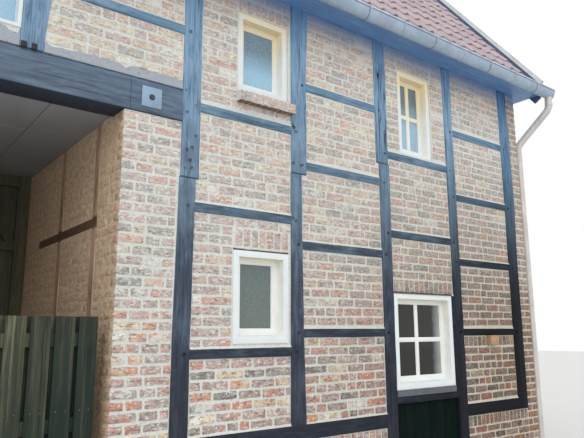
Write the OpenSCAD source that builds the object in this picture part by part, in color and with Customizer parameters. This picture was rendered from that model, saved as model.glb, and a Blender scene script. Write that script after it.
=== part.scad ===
// Half timbered house with brick infill, a covered cart passage at its left end,
// a steep tiled roof, half round gutters and downpipes. Millimetres, +Z up,
// the front faces -Y, and the origin is on the ground at the middle of the house.

/* [Plan] */
// Depth of the house between the outer faces of its front and back timbers
house_depth = 5400; // [4800:100:6600]
// Thickness of the two brick gable walls
gable_t = 200; // [150:10:300]
// Thickness of the left passage wall, beside the left gable wall
left_wall_t = 160; // [120:10:240]
// Clear width of the cart passage
passage_w = 2600; // [2200:50:3200]
// Width of the brick pier between the passage and the first post
pier_w = 448; // [380:4:600]
// Thickness of the right passage wall, behind the pier
passage_wall_t = 250; // [200:10:320]
// How far the brickwork lies behind the faces of the timbers
brick_setback = 12; // [4:1:25]
// Thickness of the brick panels between the timbers
infill_t = 115; // [90:5:125]

/* [Posts and bays] */
// Depth of the posts, from the front to the back of the wall
timber_d = 160; // [140:5:200]
// Width of the first post below its splice
post_1_w = 150; // [120:5:180]
// Width of the second post below its splice
post_2_w = 125; // [110:5:170]
// Width of the third post below its splice
post_3_w = 145; // [120:5:180]
// Width of the fourth post
post_4_w = 142; // [120:2:180]
// Width of the two corner posts
corner_post_w = 175; // [140:5:200]
// Width of the two posts that stand over the passage
passage_post_w = 160; // [130:5:190]
// Clear width of the bay left of the first post, over the passage
passage_bay_w = 1081; // [960:1:1180]
// Clear width of the bay right of the first post
bay_1_w = 975; // [880:5:1100]
// Clear width of the bay right of the second post
bay_2_w = 1020; // [880:5:1100]
// Width of the timber strip between the lower four pane window and the fourth post
window_strip_w = 50; // [40:2:80]
// Clear width of the bay right of the fourth post
bay_4_w = 980; // [880:5:1100]
// Old upper lengths of the first three posts, as their widths
old_post_w = [164, 175, 172]; // [140:1:190]
// How far the old lengths stand right of the left edge of the new ones
old_post_shift = [28, 7, -38]; // [-45:1:45]
// Heights of the splices between the old and the new lengths
splice_z = [2860, 3070, 3360]; // [2700:10:3400]

/* [Sill, rails and plate] */
// Height of the brick plinth
plinth_h = 751; // [600:1:850]
// Thickness of the brick plinth
plinth_t = 240; // [200:10:300]
// Height of the sill beams on the plinth
sill_beam_h = 127; // [100:1:160]
// Height of a rail
rail_h = 76; // [60:1:100]
// Undersides of the rails in the bays with windows
window_bay_rails = [1447, 2593, 3432]; // [1400:1:3450]
// Undersides of the rails in the plain brick bays
plain_bay_rails = [1601, 2375, 3120, 3896]; // [1550:1:3950]
// Underside of the rails over the passage
passage_rail_z = 4072; // [3950:1:4200]
// Underside of the wall plate, where the brickwork ends
plate_z = 4720; // [4600:10:4900]
// Height of the wall plate
plate_h = 160; // [120:10:200]

/* [Bressumer] */
// Underside of the beam that carries the wall over the passage
bressumer_z = 3314; // [3200:1:3380]
// Height of the front face of that beam
bressumer_face_h = 235; // [200:5:260]
// Height of the sloped top edge above the face
bressumer_slope_h = 41; // [20:1:60]
// Depth of the beam
bressumer_d = 250; // [220:5:300]

/* [Windows] */
// Width of the small upper windows
small_upper_w = 545; // [480:5:600]
// Height of the small upper windows
small_upper_h = 750; // [650:5:850]
// Sill height of the small upper windows
small_upper_z = 3720; // [3690:5:3850]
// Width of the small lower window
small_lower_w = 562; // [480:2:620]
// Height of the small lower window
small_lower_h = 760; // [650:5:900]
// Strip of mortar between a small window and the post at its right
window_gap = 34; // [25:1:60]
// Width of the upper four pane window
pane_upper_w = 532; // [460:4:600]
// Height of the upper four pane window
pane_upper_h = 972; // [850:4:1050]
// Brickwork between the third post and the upper four pane window
pane_upper_gap = 200; // [120:5:260]
// Width of the lower four pane window
pane_lower_w = 908; // [800:4:920]
// Height of the lower four pane window
pane_lower_h = 945; // [850:5:1050]
// Width of the outer frame of a window
frame_w = 54; // [40:2:70]
// Depth of the outer frame of a window
frame_d = 120; // [110:5:140]
// Width of the sash members
sash_w = 62; // [45:1:75]
// Depth of the sash members
sash_d = 40; // [30:1:50]
// How far the sash lies behind the face of the outer frame
sash_setback = 68; // [50:1:80]
// Width of the bars between the panes
pane_bar_w = 40; // [24:1:50]
// Thickness of the glass
glass_t = 6; // [4:1:12]
// Projection of the brick sills in front of the timbers
brick_sill_out = 60; // [40:5:90]
// Height of the brick sills
brick_sill_h = 95; // [80:5:110]
// How far the top of a brick sill lies below its window
brick_sill_drop = 15; // [5:1:30]
// Fall of a brick sill from the brickwork to its front edge
brick_sill_fall = 10; // [5:1:20]
// Height of the metal strip under the lower four pane window
sill_strip_h = 60; // [40:1:70]
// How far that strip stands in front of the timbers
sill_strip_out = 6; // [2:1:15]

/* [Boarded door panel] */
// Underside of the transom over the boarded panel
transom_z = 955; // [900:1:1000]
// Height of that transom
transom_h = 68; // [60:1:90]
// Width of the frame of the boarded panel
panel_frame_w = 70; // [50:5:100]
// Depth of the frame of the boarded panel
panel_frame_d = 60; // [50:2:80]
// How far the boarded panel lies behind the timbers
panel_setback = 30; // [15:5:60]
// Thickness of the boards in the panel
panel_board_t = 25; // [18:1:35]

/* [Passage] */
// Height of the passage ceiling above the ground
ceiling_z = 3330; // [3280:1:3420]
// Thickness of the ceiling sheets
ceiling_t = 12; // [9:1:20]
// Thickness of the floor over the passage
loft_floor_t = 218; // [160:2:240]
// Width of the timbers built into the passage walls
wall_timber_w = 95; // [70:5:120]
// Height of the remains of the rail in the passage wall
wall_rail_h = 70; // [50:5:100]
// How far the built in timbers stand proud of the passage wall
wall_timber_proud = 8; // [3:1:20]
// Distances of the built in timbers from the front of the house
wall_timber_y = [475, 1380]; // [400:10:2300]
// Distance from the front of the house to the end of the rail remains
wall_rail_end = 2110; // [1700:10:2300]
// Underside of the rail remains in the passage wall
wall_rail_z = 2480; // [2400:10:2600]

/* [Timber screen in the passage] */
// Width of the screen's posts, beams and lintel
screen_post_w = 120; // [90:5:160]
// Underside of the rail in the screen
screen_rail_z = 2515; // [2400:5:2700]
// Height of the rail in the screen
screen_rail_h = 92; // [70:2:120]
// Reach of the braces along the lintel and the posts
screen_brace_reach = 480; // [350:10:600]
// Width of the braces of the screen
screen_brace_w = 90; // [70:5:110]
// Thickness of the boards of the screen
screen_board_t = 25; // [18:1:40]

/* [Fence] */
// Height of the fence across the passage mouth
fence_h = 1762; // [1500:2:1900]
// Width of a fence board
fence_board_w = 128; // [110:2:140]
// Spacing of the fence boards on one face
fence_pitch = 157; // [145:1:180]
// Thickness of a fence board
fence_board_t = 16; // [12:1:22]
// Height of the foot of the boards above the ground
fence_foot = 40; // [20:5:80]
// Undersides of the three fence rails
fence_rail_z = [160, 1005, 1560]; // [100:5:1600]
// Height of the fence rails
fence_rail_h = 90; // [60:5:110]
// Thickness of the fence rails
fence_rail_t = 32; // [24:2:45]
// Side of the square fence posts
fence_post_w = 70; // [60:5:100]
// How far the fence posts end below the tops of the boards
fence_post_drop = 20; // [0:5:60]
// Distance of the fence from the face of the house
fence_setback = 70; // [40:5:120]
// Gap between the fence and the right passage wall
fence_gap = 95; // [60:5:120]

/* [Floors] */
// Thickness of the ground floor
ground_floor_t = 100; // [80:10:150]
// Underside of the upper floor over the rooms
upper_floor_z = 2600; // [2500:10:2650]
// Thickness of the upper floor
upper_floor_t = 180; // [140:10:220]

/* [Roof] */
// Pitch of the roof in degrees
roof_pitch = 52; // [45:1:56]
// Reach of the tiles beyond the timbers at the eaves
eaves_reach = 300; // [280:5:340]
// Height of the tile surface at the edge of the eaves
eaves_z = 4835; // [4815:1:4860]
// Thickness of the tiles with their battens
roof_t = 70; // [60:1:90]
// Number of tiles along the eaves
tile_columns = 43; // [39:1:47]
// Height of the rolls of the tiles above their troughs
tile_roll_h = 38; // [25:1:45]
// Reach of the roof beyond the gable walls
verge_reach = 230; // [180:5:300]
// Thickness of the barge boards
barge_t = 30; // [20:1:40]
// Depth of the barge boards below the tile surface, square to the slope
barge_h = 230; // [180:5:260]
// Height of the barge boards above the tile surface, square to the slope
barge_rise = 22; // [10:1:40]
// Distance of the tip of a barge board's foot from the timbers
barge_tip_d = 165; // [120:5:200]
// Rise from that tip to the plumb end of the barge board
barge_end_rise = 55; // [30:5:80]
// Depth of the boarded eaves box in front of the timbers
eaves_box_d = 250; // [220:5:260]
// Outer radius of the ridge tiles
ridge_r = 115; // [95:5:140]
// Thickness of the ridge tiles
ridge_t = 18; // [12:1:30]
// How far the centre line of the ridge tiles lies below the top of the tile surface
ridge_sink = 52; // [40:1:70]

/* [Rainwater] */
// Outer radius of the half round gutters
gutter_r = 70; // [62:1:72]
// Wall thickness of the gutters
gutter_t = 2; // [1.5:0.5:4]
// Height of the rim of the gutters
gutter_z = 4778; // [4765:1:4785]
// Radius of the rolled bead on the gutters
bead_r = 9; // [6:1:12]
// Reach of the gutters beyond the barge boards
gutter_reach = 100; // [60:5:140]
// Outer radius of the downpipes
pipe_r = 45; // [38:1:50]
// Wall thickness of the downpipes
pipe_t = 2; // [1.5:0.5:4]
// Gap between a gable wall and its downpipe
pipe_gap = 42; // [25:1:60]
// Height where the swan neck leaves the gutter outlet
neck_top_z = 4526; // [4450:5:4560]
// Height where the swan neck meets the wall pipe
neck_foot_z = 4050; // [3950:10:4200]
// Height of the lower end of the downpipes
pipe_foot_z = 130; // [60:10:250]
// Distance of the outlet from the end of the gutter
outlet_inset = 60; // [50:5:90]
// How much wider the elbow sockets are than the pipe
elbow_swell = 2; // [1:0.5:5]
// Heights of the pipe clips
clip_z = [600, 2150, 3700]; // [500:50:3800]
// Height of a pipe clip
clip_h = 30; // [20:2:50]
// Thickness of a pipe clip
clip_t = 4; // [3:1:8]
// Width of the arm that holds a clip on the gable wall
clip_arm_w = 20; // [12:2:40]

/* [Small pieces] */
// Side of the steel tie plate on the bressumer
tie_plate_w = 165; // [120:5:190]
// Thickness of the steel tie plate
tie_plate_t = 8; // [5:1:14]
// Diameter of the bolt head in the tie plate
tie_bolt_d = 44; // [30:2:60]
// Length of the bolt head in front of the plate
tie_bolt_l = 10; // [6:1:16]
// Distance of the tie plate from the passage
tie_plate_x = 125; // [80:5:180]
// Height of the middle of the tie plate above the middle of the beam's face
tie_plate_lift = 15; // [0:1:30]
// Width of the small wooden box on the brickwork
wall_box_w = 150; // [110:5:190]
// Height of the small wooden box
wall_box_h = 105; // [80:5:140]
// Depth of the small wooden box in front of the timbers
wall_box_d = 50; // [30:5:80]
// Distance of the small wooden box from the fourth post
wall_box_x = 425; // [200:5:700]

/* [Hidden] */
$fn = 48;

y_face = -house_depth / 2;
y_brick = y_face + brick_setback;
y_infill = [y_brick, y_brick + infill_t];

bay_3_w = pane_lower_w + window_strip_w;
new_post_w = [post_1_w, post_2_w, post_3_w, post_4_w, corner_post_w];
bay_w = [bay_1_w, bay_2_w, bay_3_w, bay_4_w];
last_post = len(new_post_w) - 1;

house_w = 2 * gable_t + left_wall_t + passage_w + pier_w
    + bay_1_w + bay_2_w + bay_3_w + bay_4_w
    + post_1_w + post_2_w + post_3_w + post_4_w + corner_post_w;
x_out = house_w / 2;
x_in = x_out - gable_t;
x_passage = [-x_in + left_wall_t, -x_in + left_wall_t + passage_w];
x_first_post = x_passage[1] + pier_w;
x_room = [x_passage[1] + passage_wall_t, x_in];
y_room = -y_face - plinth_t;

// Left and right faces of the posts, below and above their splices
function new_left(i) = i == 0 ? x_first_post : new_right(i - 1) + bay_w[i - 1];
function new_right(i) = new_left(i) + new_post_w[i];
function is_spliced(i) = i < len(splice_z);
function old_left(i) = new_left(i) + (is_spliced(i) ? old_post_shift[i] : 0);
function old_right(i) = old_left(i) + (is_spliced(i) ? old_post_w[i] : new_post_w[i]);
function new_middle(i) = (new_left(i) + new_right(i)) / 2;

sill_top = plinth_h + sill_beam_h;
transom_top = transom_z + transom_h;
bressumer_top = bressumer_z + bressumer_face_h + bressumer_slope_h;
plate_top = plate_z + plate_h;
door_bay = 2;

// Left faces of the three posts over the passage: corner post and two posts
x_last_over = old_left(0) - passage_bay_w - passage_post_w;
passage_post_x = [-x_in, (-x_in + corner_post_w + x_last_over - passage_post_w) / 2, x_last_over];
passage_widths = [corner_post_w, passage_post_w, passage_post_w];

// Undersides of the rails in each bay, left to right
bay_rails = [
    window_bay_rails,
    plain_bay_rails,
    [transom_z, window_bay_rails[1], window_bay_rails[2]],
    plain_bay_rails
];
function rail_height(i, k) = i == door_bay && k == 0 ? transom_h : rail_h;

// Windows as [left, sill height, width, height, columns of panes, rows of panes]
win_over_passage = [passage_post_x[2] - small_upper_w, small_upper_z,
    small_upper_w, small_upper_h, 1, 1];
win_upper_left = [old_left(1) - window_gap - small_upper_w, small_upper_z,
    small_upper_w, small_upper_h, 1, 1];
win_upper_right = [old_right(2) + pane_upper_gap, window_bay_rails[2] + rail_h,
    pane_upper_w, pane_upper_h, 2, 2];
win_lower_left = [new_left(1) - window_gap - small_lower_w, window_bay_rails[0] + rail_h + window_gap,
    small_lower_w, small_lower_h, 1, 1];
win_lower_right = [new_right(2), transom_top + sill_strip_h, pane_lower_w, pane_lower_h, 2, 2];
front_windows = [win_over_passage, win_upper_left, win_upper_right, win_lower_left, win_lower_right];
gable_win = [-small_upper_w / 2, small_upper_z, small_upper_w, small_upper_h, 1, 1];
gable_win_low = [-small_lower_w / 2, win_lower_left[1], small_lower_w, small_lower_h, 1, 1];

// Heights of the upper and lower side of the roof at a distance from the timber face
slope = tan(roof_pitch);
roof_drop = roof_t / cos(roof_pitch);
function tile_z(d) = eaves_z + (d + eaves_reach) * slope;
function under_z(d) = tile_z(d) - roof_drop;
roof_run = house_depth / 2;
x_verge = x_out + verge_reach;
x_gutter = x_verge + barge_t + gutter_reach;
gutter_y = y_face - eaves_box_d - gutter_r;
tile_cover = 2 * x_verge / tile_columns;

// A box given by its low and high limits along each axis
module block(x, y, z) {
    translate([x[0], y[0], z[0]]) cube([x[1] - x[0], y[1] - y[0], z[1] - z[0]]);
}

// The back of the house repeats the front
module at_back() {
    mirror([0, 1, 0]) children();
}

module front_and_back() {
    children();
    at_back() children();
}

// An outline in the plane across the house, extruded along its length
module along_house(x, points) {
    translate([x[0], 0, 0]) rotate([90, 0, 90]) linear_extrude(height = x[1] - x[0]) polygon(points);
}

// Brickwork

module plinth_side() {
    block([new_left(0), new_left(2)], [y_brick, y_face + plinth_t], [0, plinth_h]);
    block([new_right(3), x_in], [y_brick, y_face + plinth_t], [0, plinth_h]);
}

module plinths() {
    color("sienna") front_and_back() plinth_side();
}

module bay_infill(i) {
    low = i == door_bay ? win_lower_right[1] + pane_lower_h : sill_top;
    color("rosybrown") difference() {
        block([new_middle(i), new_middle(i + 1)], y_infill, [low, plate_z]);
        post_shapes();
        bay_rail_shapes(i);
        for (w = front_windows) window_hole(w);
    }
}

module infill_over_passage() {
    color("rosybrown") difference() {
        block([-x_in, old_right(0)], y_infill, [bressumer_top, plate_z]);
        post_shapes();
        passage_rail_shapes();
        window_hole(win_over_passage);
    }
}

module back_infill() {
    at_back() {
        infill_over_passage();
        for (i = [0 : last_post - 1]) bay_infill(i);
    }
}

module pier_side() {
    pier_y = [y_brick, y_face + bressumer_d];
    difference() {
        union() {
            block([x_passage[1], new_left(0)], pier_y, [0, bressumer_z]);
            block([x_passage[1], new_middle(0)], [y_brick, y_face + timber_d], [sill_top, bressumer_z]);
        }
        post_shapes();
    }
    block([-x_in, x_passage[0]], pier_y, [0, bressumer_z]);
}

module piers() {
    color("rosybrown") front_and_back() pier_side();
}

module passage_wall(x) {
    block(x, [y_face + bressumer_d, -y_face - bressumer_d], [0, ceiling_z + ceiling_t]);
}

module passage_left_wall() {
    color("rosybrown") passage_wall([-x_in, x_passage[0]]);
}

module passage_right_wall() {
    color("rosybrown") difference() {
        passage_wall([x_passage[1], x_room[0]]);
        wall_timber_shapes();
    }
}

// Built in posts and the remains of a rail, in the face of the passage wall
module wall_timber_shapes() {
    timber_x = [x_passage[1] - wall_timber_proud, x_passage[1] + wall_timber_w];
    front_and_back() {
        for (y = wall_timber_y)
            block(timber_x, [y_face + y, y_face + y + wall_timber_w], [0, ceiling_z]);
        block(timber_x, [y_face + wall_timber_y[0], y_face + wall_rail_end],
            [wall_rail_z, wall_rail_z + wall_rail_h]);
    }
}

module passage_wall_timbers() {
    color("saddlebrown") wall_timber_shapes();
}

// A gable wall reaches the underside of the roof, and is notched for the plates
module gable_wall(x) {
    d_in = timber_d;
    half = [[y_brick, 0], [y_brick, plate_z], [y_face + d_in, plate_z], [y_face + d_in, under_z(d_in)]];
    other = [for (i = [len(half) - 1 : -1 : 0]) [-half[i][0], half[i][1]]];
    along_house(x, concat(half, [[0, under_z(roof_run)]], other));
}

module left_gable_wall() {
    color("rosybrown") difference() {
        gable_wall([-x_out, -x_in]);
        on_left_gable() window_hole(gable_win);
    }
}

module right_gable_wall() {
    color("rosybrown") difference() {
        gable_wall([x_in, x_out]);
        on_right_gable() {
            window_hole(gable_win);
            window_hole(gable_win_low);
        }
    }
}

// Frames the gable windows as if they were in a front wall at the gable
module on_right_gable() {
    translate([x_out, 0, 0]) rotate([0, 0, 90]) translate([0, -y_face, 0]) children();
}

module on_left_gable() {
    mirror([1, 0, 0]) on_right_gable() children();
}

// Timber frame

module post(x, z) {
    block(x, [y_face, y_face + timber_d], z);
}

module new_post_shapes() {
    for (i = [0 : last_post]) {
        foot = i == 2 || i == 3 ? 0 : (i == last_post ? plinth_h : sill_top);
        post([new_left(i), new_right(i)], [foot, is_spliced(i) ? splice_z[i] : plate_z]);
    }
}

module old_post_shapes() {
    for (i = [0 : len(splice_z) - 1]) post([old_left(i), old_right(i)], [splice_z[i], plate_z]);
    for (i = [0 : len(passage_widths) - 1])
        post([passage_post_x[i], passage_post_x[i] + passage_widths[i]], [bressumer_top, plate_z]);
}

module post_shapes() {
    new_post_shapes();
    old_post_shapes();
}

module front_posts_new() {
    color("black") new_post_shapes();
}

module front_posts_old() {
    color("dimgray") old_post_shapes();
}

module back_posts() {
    color("black") at_back() post_shapes();
}

module bay_rail_shapes(i) {
    difference() {
        for (k = [0 : len(bay_rails[i]) - 1])
            post([new_middle(i), new_middle(i + 1)], [bay_rails[i][k], bay_rails[i][k] + rail_height(i, k)]);
        post_shapes();
    }
}

// Over the passage the middle bay has a window and no rail
module passage_rail_shapes() {
    z = [passage_rail_z, passage_rail_z + rail_h];
    post([passage_post_x[0] + corner_post_w, passage_post_x[1]], z);
    post([passage_post_x[2] + passage_post_w, old_left(0)], z);
}

// Upright strip that closes the bay between the lower four pane window and the fourth post
module window_strip() {
    strip_x = [new_left(3) - window_strip_w, new_left(3)];
    post(strip_x, [transom_top, win_lower_right[1] + pane_lower_h]);
}

module rail_shapes() {
    for (i = [0 : last_post - 1]) bay_rail_shapes(i);
    passage_rail_shapes();
    window_strip();
}

module front_rails() {
    color("black") rail_shapes();
}

module back_rails() {
    color("black") at_back() rail_shapes();
}

module sill_beam_side() {
    post([new_left(0), new_left(2)], [plinth_h, sill_top]);
    post([new_right(3), new_left(last_post)], [plinth_h, sill_top]);
}

module sill_beams() {
    color("black") front_and_back() sill_beam_side();
}

module bressumer() {
    face = bressumer_z + bressumer_face_h;
    profile = [[y_face, bressumer_z], [y_face, face], [y_brick, bressumer_top],
        [y_face + bressumer_d, bressumer_top], [y_face + bressumer_d, bressumer_z]];
    along_house([-x_in, old_left(0)], profile);
}

module bressumers() {
    color("dimgray") front_and_back() bressumer();
}

module wall_plates() {
    color("black") front_and_back() post([-x_out, x_out], [plate_z, plate_top]);
}

// Windows, in the front wall's own place

module window_hole(w) {
    block([w[0], w[0] + w[2]], [y_face - 1, y_face + gable_t + 1], [w[1], w[1] + w[3]]);
}

// A rectangular ring of one member width, standing upright
module upright_ring(x, y, z, member) {
    difference() {
        block(x, y, z);
        block([x[0] + member, x[1] - member], [y[0] - 1, y[1] + 1], [z[0] + member, z[1] - member]);
    }
}

module window_frame(w) {
    x = [w[0], w[0] + w[2]];
    z = [w[1], w[1] + w[3]];
    sash_x = [x[0] + frame_w, x[1] - frame_w];
    sash_z = [z[0] + frame_w, z[1] - frame_w];
    sash_y = [y_face + sash_setback, y_face + sash_setback + sash_d];
    upright_ring(x, [y_face, y_face + frame_d], z, frame_w);
    upright_ring(sash_x, sash_y, sash_z, sash_w);
    pane_w = (sash_x[1] - sash_x[0] - 2 * sash_w) / w[4];
    pane_h = (sash_z[1] - sash_z[0] - 2 * sash_w) / w[5];
    for (i = [1 : 1 : w[4] - 1]) {
        bar_x = sash_x[0] + sash_w + i * pane_w;
        block([bar_x - pane_bar_w / 2, bar_x + pane_bar_w / 2], sash_y, sash_z);
    }
    for (j = [1 : 1 : w[5] - 1]) {
        bar_z = sash_z[0] + sash_w + j * pane_h;
        block(sash_x, sash_y, [bar_z - pane_bar_w / 2, bar_z + pane_bar_w / 2]);
    }
}

// Panes fill the openings that the sash and the bars leave
module window_panes(w) {
    glass_y = y_face + sash_setback + (sash_d - glass_t) / 2;
    inset = frame_w + sash_w;
    difference() {
        block([w[0] + inset, w[0] + w[2] - inset], [glass_y, glass_y + glass_t],
            [w[1] + inset, w[1] + w[3] - inset]);
        window_frame(w);
    }
}

module window_over_passage() {
    color("ivory") window_frame(win_over_passage);
}

module window_upper_left() {
    color("ivory") window_frame(win_upper_left);
}

module window_upper_right() {
    color("ivory") window_frame(win_upper_right);
}

module window_lower_left() {
    color("ivory") window_frame(win_lower_left);
}

module window_lower_right() {
    color("ivory") window_frame(win_lower_right);
}

module back_windows() {
    color("ivory") at_back() for (w = front_windows) window_frame(w);
}

module gable_windows() {
    color("ivory") {
        on_left_gable() window_frame(gable_win);
        on_right_gable() {
            window_frame(gable_win);
            window_frame(gable_win_low);
        }
    }
}

module window_glass() {
    color("lightsteelblue") {
        front_and_back() for (w = front_windows) window_panes(w);
        on_left_gable() window_panes(gable_win);
        on_right_gable() {
            window_panes(gable_win);
            window_panes(gable_win_low);
        }
    }
}

// Sloped row of bricks on edge under a small upper window
module brick_sill(w) {
    top = w[1] - brick_sill_drop;
    front = y_face - brick_sill_out;
    profile = [[y_brick, top], [y_brick, top - brick_sill_h], [front, top - brick_sill_h],
        [front, top - brick_sill_fall]];
    along_house([w[0] - window_gap / 2, w[0] + w[2] + window_gap], profile);
}

module brick_window_sills() {
    color("indianred") front_and_back() brick_sill(win_upper_left);
}

module metal_window_sills() {
    y = [y_face - sill_strip_out, y_face + frame_d];
    x = [win_lower_right[0], win_lower_right[0] + pane_lower_w];
    color("gray") front_and_back() block(x, y, [transom_top, win_lower_right[1]]);
}

// Boarded panel under the lower four pane window, down to the ground
module door_panel() {
    y = y_face + panel_setback;
    x = [new_right(2), new_left(3)];
    upright_ring(x, [y, y + panel_frame_d], [0, transom_z], panel_frame_w);
    block([x[0] + panel_frame_w, x[1] - panel_frame_w],
        [y + panel_frame_d - panel_board_t, y + panel_frame_d], [panel_frame_w, transom_z - panel_frame_w]);
}

module door_panels() {
    color("darkgreen") front_and_back() door_panel();
}

// Passage ceiling, floors, screen and fence

module passage_ceiling() {
    y = -y_face - bressumer_d;
    color("darkslategray") block(x_passage, [-y, y], [ceiling_z, ceiling_z + ceiling_t]);
}

module ground_floor() {
    color("lightgray") block(x_room, [-y_room, y_room], [0, ground_floor_t]);
}

// The floor over the rooms, and a higher one over the passage
module upper_floors() {
    room_y = -y_face - timber_d;
    loft_y = -y_face - bressumer_d;
    loft_z = ceiling_z + ceiling_t;
    color("burlywood") {
        block(x_room, [-room_y, room_y], [upper_floor_z, upper_floor_z + upper_floor_t]);
        block([-x_in, x_room[0]], [-loft_y, loft_y], [loft_z, loft_z + loft_floor_t]);
    }
}

// Posts, lintel, rail and corner braces with boards behind them, at mid depth
module passage_screen() {
    half = screen_post_w / 2;
    frame_x = [x_passage[0], x_passage[1] - wall_timber_proud];
    inner_x = [frame_x[0] + screen_post_w, frame_x[1] - screen_post_w];
    lintel_z = ceiling_z - screen_post_w;
    color("darkslategray") {
        for (x = [frame_x[0], inner_x[1]]) block([x, x + screen_post_w], [-half, half], [0, ceiling_z]);
        block(inner_x, [-half, half], [lintel_z, ceiling_z]);
        block(inner_x, [-half, half], [screen_rail_z, screen_rail_z + screen_rail_h]);
        block(inner_x, [0, screen_board_t], [0, lintel_z]);
        screen_brace(inner_x[0], 1, lintel_z);
        screen_brace(inner_x[1], -1, lintel_z);
    }
}

// Diagonal brace from a screen post up to the lintel, side is 1 at the left and -1 at the right
module screen_brace(x, side, top) {
    foot = screen_rail_z + screen_rail_h;
    points = [[x, foot], [x + side * screen_brace_w, foot],
        [x + side * (screen_brace_reach + screen_brace_w), top], [x + side * screen_brace_reach, top]];
    rotate([90, 0, 0]) linear_extrude(height = screen_post_w / 2) polygon(points);
}

// Boards stand in turn on the front and on the back of three rails
module passage_fence() {
    x = [x_passage[0], x_passage[1] - fence_gap];
    rail_y = y_face + fence_setback;
    back_y = rail_y + fence_rail_t;
    boards = floor((x[1] - x[0] - fence_board_w) / fence_pitch);
    start = x[1] - fence_board_w;
    color("darkolivegreen") {
        for (z = fence_rail_z) block(x, [rail_y, back_y], [z, z + fence_rail_h]);
        for (i = [0 : boards])
            fence_board(start - i * fence_pitch, [rail_y - fence_board_t, rail_y]);
        for (i = [0 : boards - 1])
            fence_board(start - (i + 0.5) * fence_pitch, [back_y, back_y + fence_board_t]);
        for (px = [x[0], x[1] - fence_post_w])
            block([px, px + fence_post_w], [back_y, back_y + fence_post_w], [0, fence_h - fence_post_drop]);
    }
}

module fence_board(x, y) {
    block([x, x + fence_board_w], y, [fence_foot, fence_h]);
}

// Roof

// The troughs between the rolls of the tiles, from below the eaves to above the ridge
module tile_troughs() {
    foot = 0.2 * tile_cover;
    side = 1.05 * tile_roll_h;
    over = 4;
    length = (roof_run + eaves_reach) / cos(roof_pitch);
    for (column = [0:tile_columns - 1])
        translate([-x_verge + (column + 0.77) * tile_cover, y_face - eaves_reach, eaves_z])
            rotate([90 + roof_pitch, 0, 0]) translate([0, 0, -length - 50])
                linear_extrude(height = length + 100)
                    polygon([[-foot, -tile_roll_h], [foot, -tile_roll_h], [foot + side + over, over],
                        [-foot - side - over, over]]);
}

module roof_slope() {
    end = [-eaves_reach + roof_t * sin(roof_pitch), eaves_z - roof_t * cos(roof_pitch)];
    profile = [[y_face - eaves_reach, eaves_z], [0, tile_z(roof_run)], [0, under_z(roof_run)],
        [y_face + end[0], end[1]]];
    difference() {
        along_house([-x_verge, x_verge], profile);
        tile_troughs();
    }
}

module roof_front() {
    color("firebrick") roof_slope();
}

module roof_back() {
    color("firebrick") at_back() mirror([1, 0, 0]) roof_slope();
}

module ridge_tiles() {
    length = 2 * (x_verge + barge_t);
    color("firebrick") difference() {
        translate([-length / 2, 0, tile_z(roof_run) - ridge_sink]) rotate([0, 90, 0]) difference() {
            cylinder(r = ridge_r, h = length);
            translate([0, 0, -1]) cylinder(r = ridge_r - ridge_t, h = length + 2);
        }
        barge_and_roof_outline();
    }
}

// What lies under the ridge tiles: all below the tile surface and the tops of the barge boards
module barge_and_roof_outline() {
    reach = 2 * ridge_r;
    for (x = [[-x_verge - barge_t - 1, -x_verge], [x_verge, x_verge + barge_t + 1]])
        along_house(x, [[-reach, barge_top_z(roof_run - reach)], [0, barge_top_z(roof_run)],
            [reach, barge_top_z(roof_run - reach)]]);
    along_house([-x_verge, x_verge], [[-reach, tile_z(roof_run - reach)], [0, tile_z(roof_run)],
        [reach, tile_z(roof_run - reach)]]);
}

// Height of the top and foot of a barge board at a distance from the timber face
function barge_top_z(d) = tile_z(d) + barge_rise / cos(roof_pitch);
function barge_foot_z(d) = tile_z(d) - barge_h / cos(roof_pitch);

// One board from the eaves to the ridge, with a plumb end and a tip at its foot
module barge_board() {
    tip = [y_face - barge_tip_d, barge_foot_z(-barge_tip_d)];
    end_y = y_face - eaves_box_d;
    along_house([0, barge_t], [tip, [end_y, tip[1] + barge_end_rise], [end_y, barge_top_z(-eaves_box_d)],
        [0, barge_top_z(roof_run)], [0, barge_foot_z(roof_run)]]);
}

module barge_boards_on_slope() {
    translate([x_verge, 0, 0]) barge_board();
    translate([-x_verge - barge_t, 0, 0]) barge_board();
}

module front_barge_boards() {
    color("black") barge_boards_on_slope();
}

module back_barge_boards() {
    color("black") at_back() barge_boards_on_slope();
}

// Boarded soffit and fascia, closed over the plate up to the underside of the roof
module eaves_box() {
    profile = [[y_face - eaves_box_d, plate_z], [y_face, plate_z], [y_face, plate_top],
        [y_face + timber_d, plate_top], [y_face + timber_d, under_z(timber_d)],
        [y_face - eaves_box_d, under_z(-eaves_box_d)]];
    along_house([-x_verge, x_verge], profile);
}

module eaves_boxes() {
    color("darkslateblue") front_and_back() eaves_box();
}

// Rainwater goods

module gutter() {
    length = 2 * x_gutter;
    translate([-x_gutter, gutter_y, gutter_z]) rotate([90, 0, 90]) {
        linear_extrude(height = length) difference() {
            circle(r = gutter_r);
            circle(r = gutter_r - gutter_t);
            translate([-gutter_r - 1, 0]) square([2 * gutter_r + 2, gutter_r + 1]);
        }
        for (z = [0, length - gutter_t]) translate([0, 0, z]) linear_extrude(height = gutter_t)
            difference() {
                circle(r = gutter_r - gutter_t / 2);
                translate([-gutter_r - 1, 0]) square([2 * gutter_r + 2, gutter_r + 1]);
            }
        translate([-gutter_r + gutter_t, 0, 0]) cylinder(r = bead_r, h = length);
    }
}

module gutters() {
    color("slategray") front_and_back() gutter();
}

// The outlet, swan neck and wall pipe lie in one upright plane through both pipes
pipe_x = x_out + pipe_gap + pipe_r;
pipe_y = y_face + pipe_r;
outlet_x = x_gutter - outlet_inset;
neck_reach = norm([pipe_x - outlet_x, pipe_y - gutter_y]);
neck_turn = atan2(neck_reach, neck_top_z - neck_foot_z);
neck_facing = atan2(pipe_y - gutter_y, pipe_x - outlet_x);

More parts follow.
